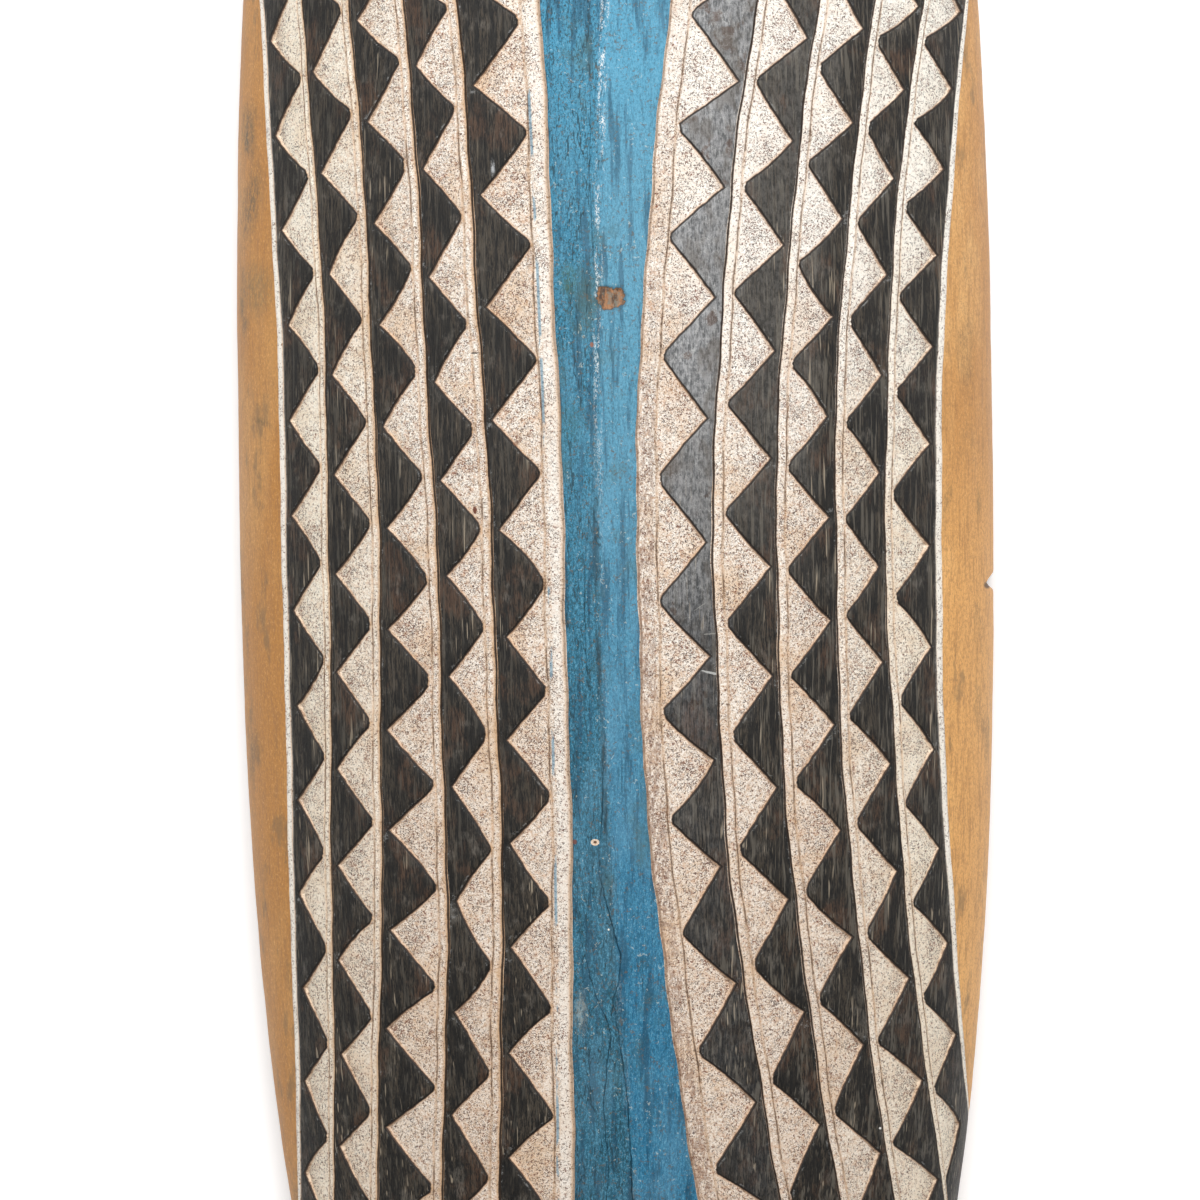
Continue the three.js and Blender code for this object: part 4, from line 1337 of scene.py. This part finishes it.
def bluePaint():
    made, tree, surface, vector = startFinish("bluePaint")
    m = lambda *terms: maths(tree, *terms)
    edge, facet, near = attribute(tree, "edge"), attribute(tree, "facet"), attribute(tree, "near")
    grain = effect(tree, "grain", Vector=vector, Scale=700.0, Length=7.0)
    streaks = effect(tree, "patch", Vector=vector, Scale=190.0, Stretch=13.0, Level=0.5, Softness=0.12)
    chalk = effect(tree, "patch", Vector=vector, Scale=34.0, Stretch=3.0, Level=0.44, Softness=0.22)["Mask"]
    stain = effect(tree, "patch", Vector=vector, Scale=24.0, Stretch=1.6, Level=0.54, Softness=0.14)["Mask"]
    height = axis(tree, vector, "Y")
    low, rightSide = ramp(tree, height, 0.1, -0.36), ramp(tree, facet, -0.1, 0.16)
    left = blend(tree, low, colour(36, 114, 144), colour(18, 82, 106))
    right = blend(tree, low, colour(88, 148, 174), colour(26, 102, 138))
    base = blend(tree, rightSide, left, right)
    base = blend(tree, ramp(tree, height, 0.08, 0.24, 0.0, 0.4), base, colour(76, 164, 202))
    fine = ramp(tree, grain["Grain"], 0.38, 0.62)
    base = blend(tree, m("MULTIPLY", fine, 0.36), base, colour(78, 152, 184))
    flecks = noise(tree, drawnOut(tree, vector, 1.8), 900.0, 3.0, 0.95)
    leftMore = ramp(tree, facet, 0.1, -0.1, 0.5, 0.95)
    base = blend(tree, m("MULTIPLY", leftMore, ramp(tree, flecks, 0.51, 0.6)), base, colour(38, 66, 70))
    base = blend(tree, ramp(tree, flecks, 0.46, 0.38, 0.0, 0.5), base, colour(118, 170, 190))
    base = blend(tree, m("MULTIPLY", streaks["Mask"], 0.6), base, colour(12, 58, 82))
    base = blend(tree, m("MULTIPLY", chalk, 0.16), base, colour(128, 170, 192))
    base = blend(tree, m("MULTIPLY", stain, 0.55), base, colour(72, 96, 90))
    # fine dark cracks in the paint, wandering down the band
    hair = noise(tree, drawnOut(tree, vector, 7.0), 120.0, 3.0, 0.6)
    hair = ramp(tree, m("ABSOLUTE", m("SUBTRACT", hair, 0.5)), 0.012, 0.004)
    hair = m("MULTIPLY", hair, ramp(tree, facet, 0.2, -0.1, 0.25, 0.8))
    base = blend(tree, hair, base, colour(28, 56, 66))
    # paint rubbed pale along the ridge, more towards the upper end, and a painted shadow line just left of
    # the ridge lower down
    ridge = ramp(tree, m("ABSOLUTE", m("SUBTRACT", facet, 0.02)), 0.1, 0.03)
    upper = ramp(tree, height, -0.12, 0.12, 0.12, 1.0)
    granular = ramp(tree, noise(tree, drawnOut(tree, vector, 1.6), 1000.0, 2.0, 0.9), 0.48, 0.58)
    broken = ramp(tree, noise(tree, drawnOut(tree, vector, 5.0), 110.0, 4.0, 0.8), 0.46, 0.56)
    rub = m("MULTIPLY", ridge, upper, m("MULTIPLY", granular, broken))
    base = blend(tree, m("MULTIPLY", rub, 0.95), base, colour(220, 226, 226))
    shadow = ramp(tree, m("ABSOLUTE", m("ADD", facet, 0.04)), 0.08, 0.01)
    shadow = m("MULTIPLY", shadow, ramp(tree, height, 0.1, -0.2))
    shadow = m("MULTIPLY", shadow, ramp(tree, height, -0.3, -0.24, 0.3, 1.0))
    shadow = m("MULTIPLY", shadow, ramp(tree, grain["Streak"], 0.4, 0.6, 0.2, 0.9))
    base = blend(tree, shadow, base, colour(30, 52, 60))
    pale = effect(tree, "speckle", Vector=vector, Scale=760.0, Amount=-0.3)["Mask"]
    base = blend(tree, m("MULTIPLY", pale, 0.42), base, colour(206, 210, 198))
    elsewhere = vectorMath(tree, "ADD", vector, (0.37, 0.11, 0.0))
    brown = effect(tree, "speckle", Vector=elsewhere, Scale=700.0, Amount=0.1)["Mask"]
    base = blend(tree, m("MULTIPLY", brown, 0.6), base, colour(96, 84, 66))
    base = blend(tree, ramp(tree, edge, 0.25, 0.9, 0.0, 0.75), base, colour(16, 40, 52))
    beside = m("MULTIPLY", ramp(tree, near, 1.1, 0.2, 0.0, 0.8), ramp(tree, facet, 0.3, -0.3, 0.4, 1.0))
    base = blend(tree, beside, base, colour(24, 46, 58))
    base = addMarks(tree, vector, base, "blue")
    rough = m("ADD", 0.5, m("MULTIPLY", chalk, 0.2))
    bumps = m("ADD", grain["Grain"], m("MULTIPLY", grain["Streak"], 0.6))
    setSurface(tree, surface, base, rough, bumps, 0.6, 0.0008)
    surface.inputs["Specular IOR Level"].default_value = 0.3
    return made


def ochrePaint():
    made, tree, surface, vector = startFinish("ochrePaint")
    m = lambda *terms: maths(tree, *terms)
    edge = attribute(tree, "edge")
    grain = effect(tree, "grain", Vector=vector, Scale=420.0, Length=9.0)
    pale = effect(tree, "patch", Vector=vector, Scale=26.0, Stretch=3.0, Level=0.42, Softness=0.3)["Mask"]
    dark = effect(tree, "patch", Vector=vector, Scale=22.0, Stretch=2.2, Level=0.55, Softness=0.14)["Mask"]
    across = axis(tree, vector, "X")
    leftSide = ramp(tree, across, 0.05, -0.05)
    base = blend(tree, pale, colour(196, 140, 76), colour(226, 176, 112))
    base = blend(tree, m("MULTIPLY", leftSide, 0.6), base, colour(172, 114, 40))
    height = axis(tree, vector, "Y")
    lowRight = m("MULTIPLY", ramp(tree, height, 0.02, -0.1), m("SUBTRACT", 1.0, leftSide))
    base = blend(tree, m("MULTIPLY", lowRight, 0.42), base, colour(246, 188, 114))
    base = blend(tree, ramp(tree, grain["Grain"], 0.46, 0.68, 0.0, 0.5), base, colour(152, 106, 60))
    fine = noise(tree, drawnOut(tree, vector, 2.0), 900.0, 3.0, 0.9)
    base = blend(tree, ramp(tree, fine, 0.48, 0.62, 0.0, 0.5), base, colour(144, 104, 66))
    base = blend(tree, ramp(tree, fine, 0.44, 0.34, 0.0, 0.4), base, colour(236, 190, 128))
    # grey-brown dirt, most of it high on the left
    dirty = ramp(tree, m("ABSOLUTE", m("SUBTRACT", height, 0.11)), 0.24, 0.04, 0.4, 1.0)
    dirty = m("MULTIPLY", leftSide, dirty)
    darker = m("MULTIPLY", dark, m("ADD", 0.4, m("MULTIPLY", dirty, 0.6)))
    darker = m("MULTIPLY", darker, ramp(tree, fine, 0.4, 0.56, 0.5, 1.0))
    base = blend(tree, darker, base, colour(92, 82, 60))
    smudge = effect(tree, "patch", Vector=vector, Scale=60.0, Stretch=2.6, Level=0.58, Softness=0.1)["Mask"]
    base = blend(tree, m("MULTIPLY", smudge, 0.55), base, colour(112, 92, 64))
    base = blend(tree, ramp(tree, edge, 0.3, 0.95, 0.0, 0.35), base, colour(110, 80, 52))
    base = addMarks(tree, vector, base, "ochre")
    # painted shade at the foot of the chipped notch in the right edge
    chipX = float(outlineAt(notch["y"])) - 5.0
    chipped = vectorMath(tree, "SUBTRACT", vector, (chipX * mm, (notch["y"] - 3.2) * mm, 0.0))
    flatten = vectorMath(tree, "MULTIPLY", chipped, (1.0, 1.0, 0.0))
    away = node(tree, "ShaderNodeVectorMath", {0: flatten}, operation="LENGTH").outputs["Value"]
    base = blend(tree, ramp(tree, away, 0.0028, 0.0012, 0.0, 0.85), base, colour(52, 34, 24))
    # a thin painted shade line along the right edge above the notch, where the edge turns away from the light
    paintedEdgeShade = m("MULTIPLY", ramp(tree, edge, 0.84, 0.96), ramp(tree, height, -0.084, -0.078))
    paintedEdgeShade = m("MULTIPLY", paintedEdgeShade, m("SUBTRACT", 1.0, leftSide))
    base = blend(tree, m("MULTIPLY", paintedEdgeShade, 0.8), base, colour(64, 62, 54))
    base = blend(tree, ramp(tree, attribute(tree, "crease"), 0.7, 0.2, 0.0, 0.55), base, colour(96, 66, 40))
    rough = m("ADD", 0.5, m("MULTIPLY", grain["Streak"], 0.2))
    setSurface(tree, surface, base, rough, m("ADD", grain["Grain"], grain["Streak"]), 0.35, 0.0004)
    return made


def bareWood():
    made, tree, surface, vector = startFinish("bareWood")
    m = lambda *terms: maths(tree, *terms)
    edge = attribute(tree, "edge")
    grain = effect(tree, "grain", Vector=vector, Scale=500.0, Length=4.0)
    base = blend(tree, ramp(tree, grain["Grain"], 0.35, 0.65), colour(74, 54, 38), colour(164, 112, 70))
    blotch = noise(tree, vector, 260.0, 4.0, 0.8)
    base = blend(tree, ramp(tree, blotch, 0.48, 0.62, 0.0, 0.8), base, colour(120, 118, 106))
    base = blend(tree, ramp(tree, blotch, 0.46, 0.36, 0.0, 0.8), base, colour(60, 44, 34))
    base = blend(tree, ramp(tree, edge, 0.25, 0.6, 0.0, 0.8), base, colour(66, 60, 52))
    rough = m("ADD", 0.6, m("MULTIPLY", grain["Grain"], 0.1))
    setSurface(tree, surface, base, rough, grain["Grain"], 0.5, 0.0004)
    return made


def backWood():
    made, tree, surface, vector = startFinish("backWood")
    m = lambda *terms: maths(tree, *terms)
    grain = effect(tree, "grain", Vector=vector, Scale=240.0, Length=20.0)
    dark = effect(tree, "patch", Vector=vector, Scale=9.0, Stretch=2.4, Level=0.46, Softness=0.22)["Mask"]
    worn = effect(tree, "patch", Vector=vector, Scale=34.0, Stretch=3.0, Level=0.55, Softness=0.15)["Mask"]
    base = blend(tree, grain["Streak"], colour(104, 70, 44), colour(164, 118, 78))
    base = blend(tree, ramp(tree, grain["Grain"], 0.5, 0.72, 0.0, 0.5), base, colour(76, 50, 32))
    base = blend(tree, m("MULTIPLY", dark, 0.55), base, colour(62, 44, 32))
    base = blend(tree, m("MULTIPLY", worn, 0.25), base, colour(186, 146, 104))
    rough = m("ADD", 0.5, m("MULTIPLY", grain["Streak"], 0.25))
    setSurface(tree, surface, base, rough, m("ADD", grain["Grain"], grain["Streak"]), 0.5, 0.0007)
    return made


print("making the finishes")
finishes = {"white": whitePaint(), "black": blackWood(), "blue": bluePaint(), "ochre": ochrePaint(),
            "bare": bareWood(), "back": backWood()}

print("laying out the board")
sheet = buildSheet()
flatObject = bpy.data.objects.new("flatBoard", toMesh(sheet, "flatBoard"))
bpy.context.scene.collection.objects.link(flatObject)
print("bending the board:", sheet.count, "points,", sum(len(f) for f in sheet.faces), "triangles")
shield = bendBoard(flatObject)
shield.data.shade_smooth()
shield.data.set_sharp_from_angle(angle=math.radians(40))
for spent in ("turn", "along", "inside", "fall", "ridge", "placed", "place", "zone"):
    if spent in shield.data.attributes:
        shield.data.attributes.remove(shield.data.attributes[spent])
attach(shield, "root")
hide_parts("shield_board")

# floor, light and camera

studio = {
    "lens": 210.0,
    "sensor": 36.0,
    "frameWidth": 0.686,  # seen across, at the height of the teeth
    "focusHeight": 0.09,
    "centre": (-0.0102, -0.0971),
    "floorGlow": 0.3,
    "roll": -0.01247,  # the shield hangs very slightly askew in the view
    "floorSize": 14.0,
    "floorDrop": 0.0005,
    "world": 0.24,
    # place, size and power of each soft light
    "lights": {
        "topLight": ((0.1, 2.0, 2.5), (1.8, 1.0), 76),
        "leftLight": ((-1.9, 0.1, 2.5), (1.2, 2.6), 17),
        "rightLight": ((1.9, 0.1, 2.5), (1.2, 2.6), 17),
        "lowLight": ((0.0, -2.6, 2.0), (2.6, 1.0), 4),
        "leftSheen": ((-0.95, 0.5, 3.0), (0.3, 2.0), 8),
        "rightSheen": ((0.75, 0.6, 3.0), (0.45, 2.2), 14),
    },
}


def plainFloor():
    half, z = studio["floorSize"] / 2, -studio["floorDrop"]
    mesh = bpy.data.meshes.new("floor")
    corners = [(-half, -half, z), (half, -half, z), (half, half, z), (-half, half, z)]
    mesh.from_pydata(corners, [], [(0, 1, 2, 3)])
    floor = bpy.data.objects.new("floor", mesh)
    bpy.context.scene.collection.objects.link(floor)
    made = bpy.data.materials.new("floorPaper")
    made.use_nodes = True
    surface = made.node_tree.nodes["Principled BSDF"].inputs
    surface["Base Color"].default_value = (0.9, 0.9, 0.9, 1)
    surface["Roughness"].default_value = 0.9
    surface["Emission Color"].default_value = (1, 1, 1, 1)
    surface["Emission Strength"].default_value = studio["floorGlow"]
    mesh.materials.append(made)


def softLight(name, place, aim, size, power):
    light = bpy.data.lights.new(name, "AREA")
    light.shape = "RECTANGLE"
    light.size, light.size_y = size
    light.energy = power
    lamp = bpy.data.objects.new(name, light)
    lamp.location = place
    lamp.rotation_euler = (Vector(aim) - Vector(place)).to_track_quat("-Z", "Y").to_euler()
    lamp.visible_camera = False
    bpy.context.scene.collection.objects.link(lamp)


def setStudio():
    plainFloor()
    middle = (studio["centre"][0], studio["centre"][1], 0.05)
    for name, (place, size, power) in studio["lights"].items():
        softLight(name, place, middle, size, power)
    world = bpy.data.worlds.new("studio")
    world.use_nodes = True
    world.node_tree.nodes["Background"].inputs["Color"].default_value = (1, 1, 1, 1)
    world.node_tree.nodes["Background"].inputs["Strength"].default_value = studio["world"]
    bpy.context.scene.world = world
    bpy.context.scene.view_settings.view_transform = "Standard"
    camera = bpy.data.cameras.new("camera")
    camera.lens, camera.sensor_width = studio["lens"], studio["sensor"]
    distance = studio["frameWidth"] * studio["lens"] / studio["sensor"]
    eye = bpy.data.objects.new("camera", camera)
    eye.location = (*studio["centre"], studio["focusHeight"] + distance)
    eye.rotation_euler = (0, 0, studio["roll"])
    camera.clip_end = 40
    bpy.context.scene.collection.objects.link(eye)
    bpy.context.scene.camera = eye


setStudio()
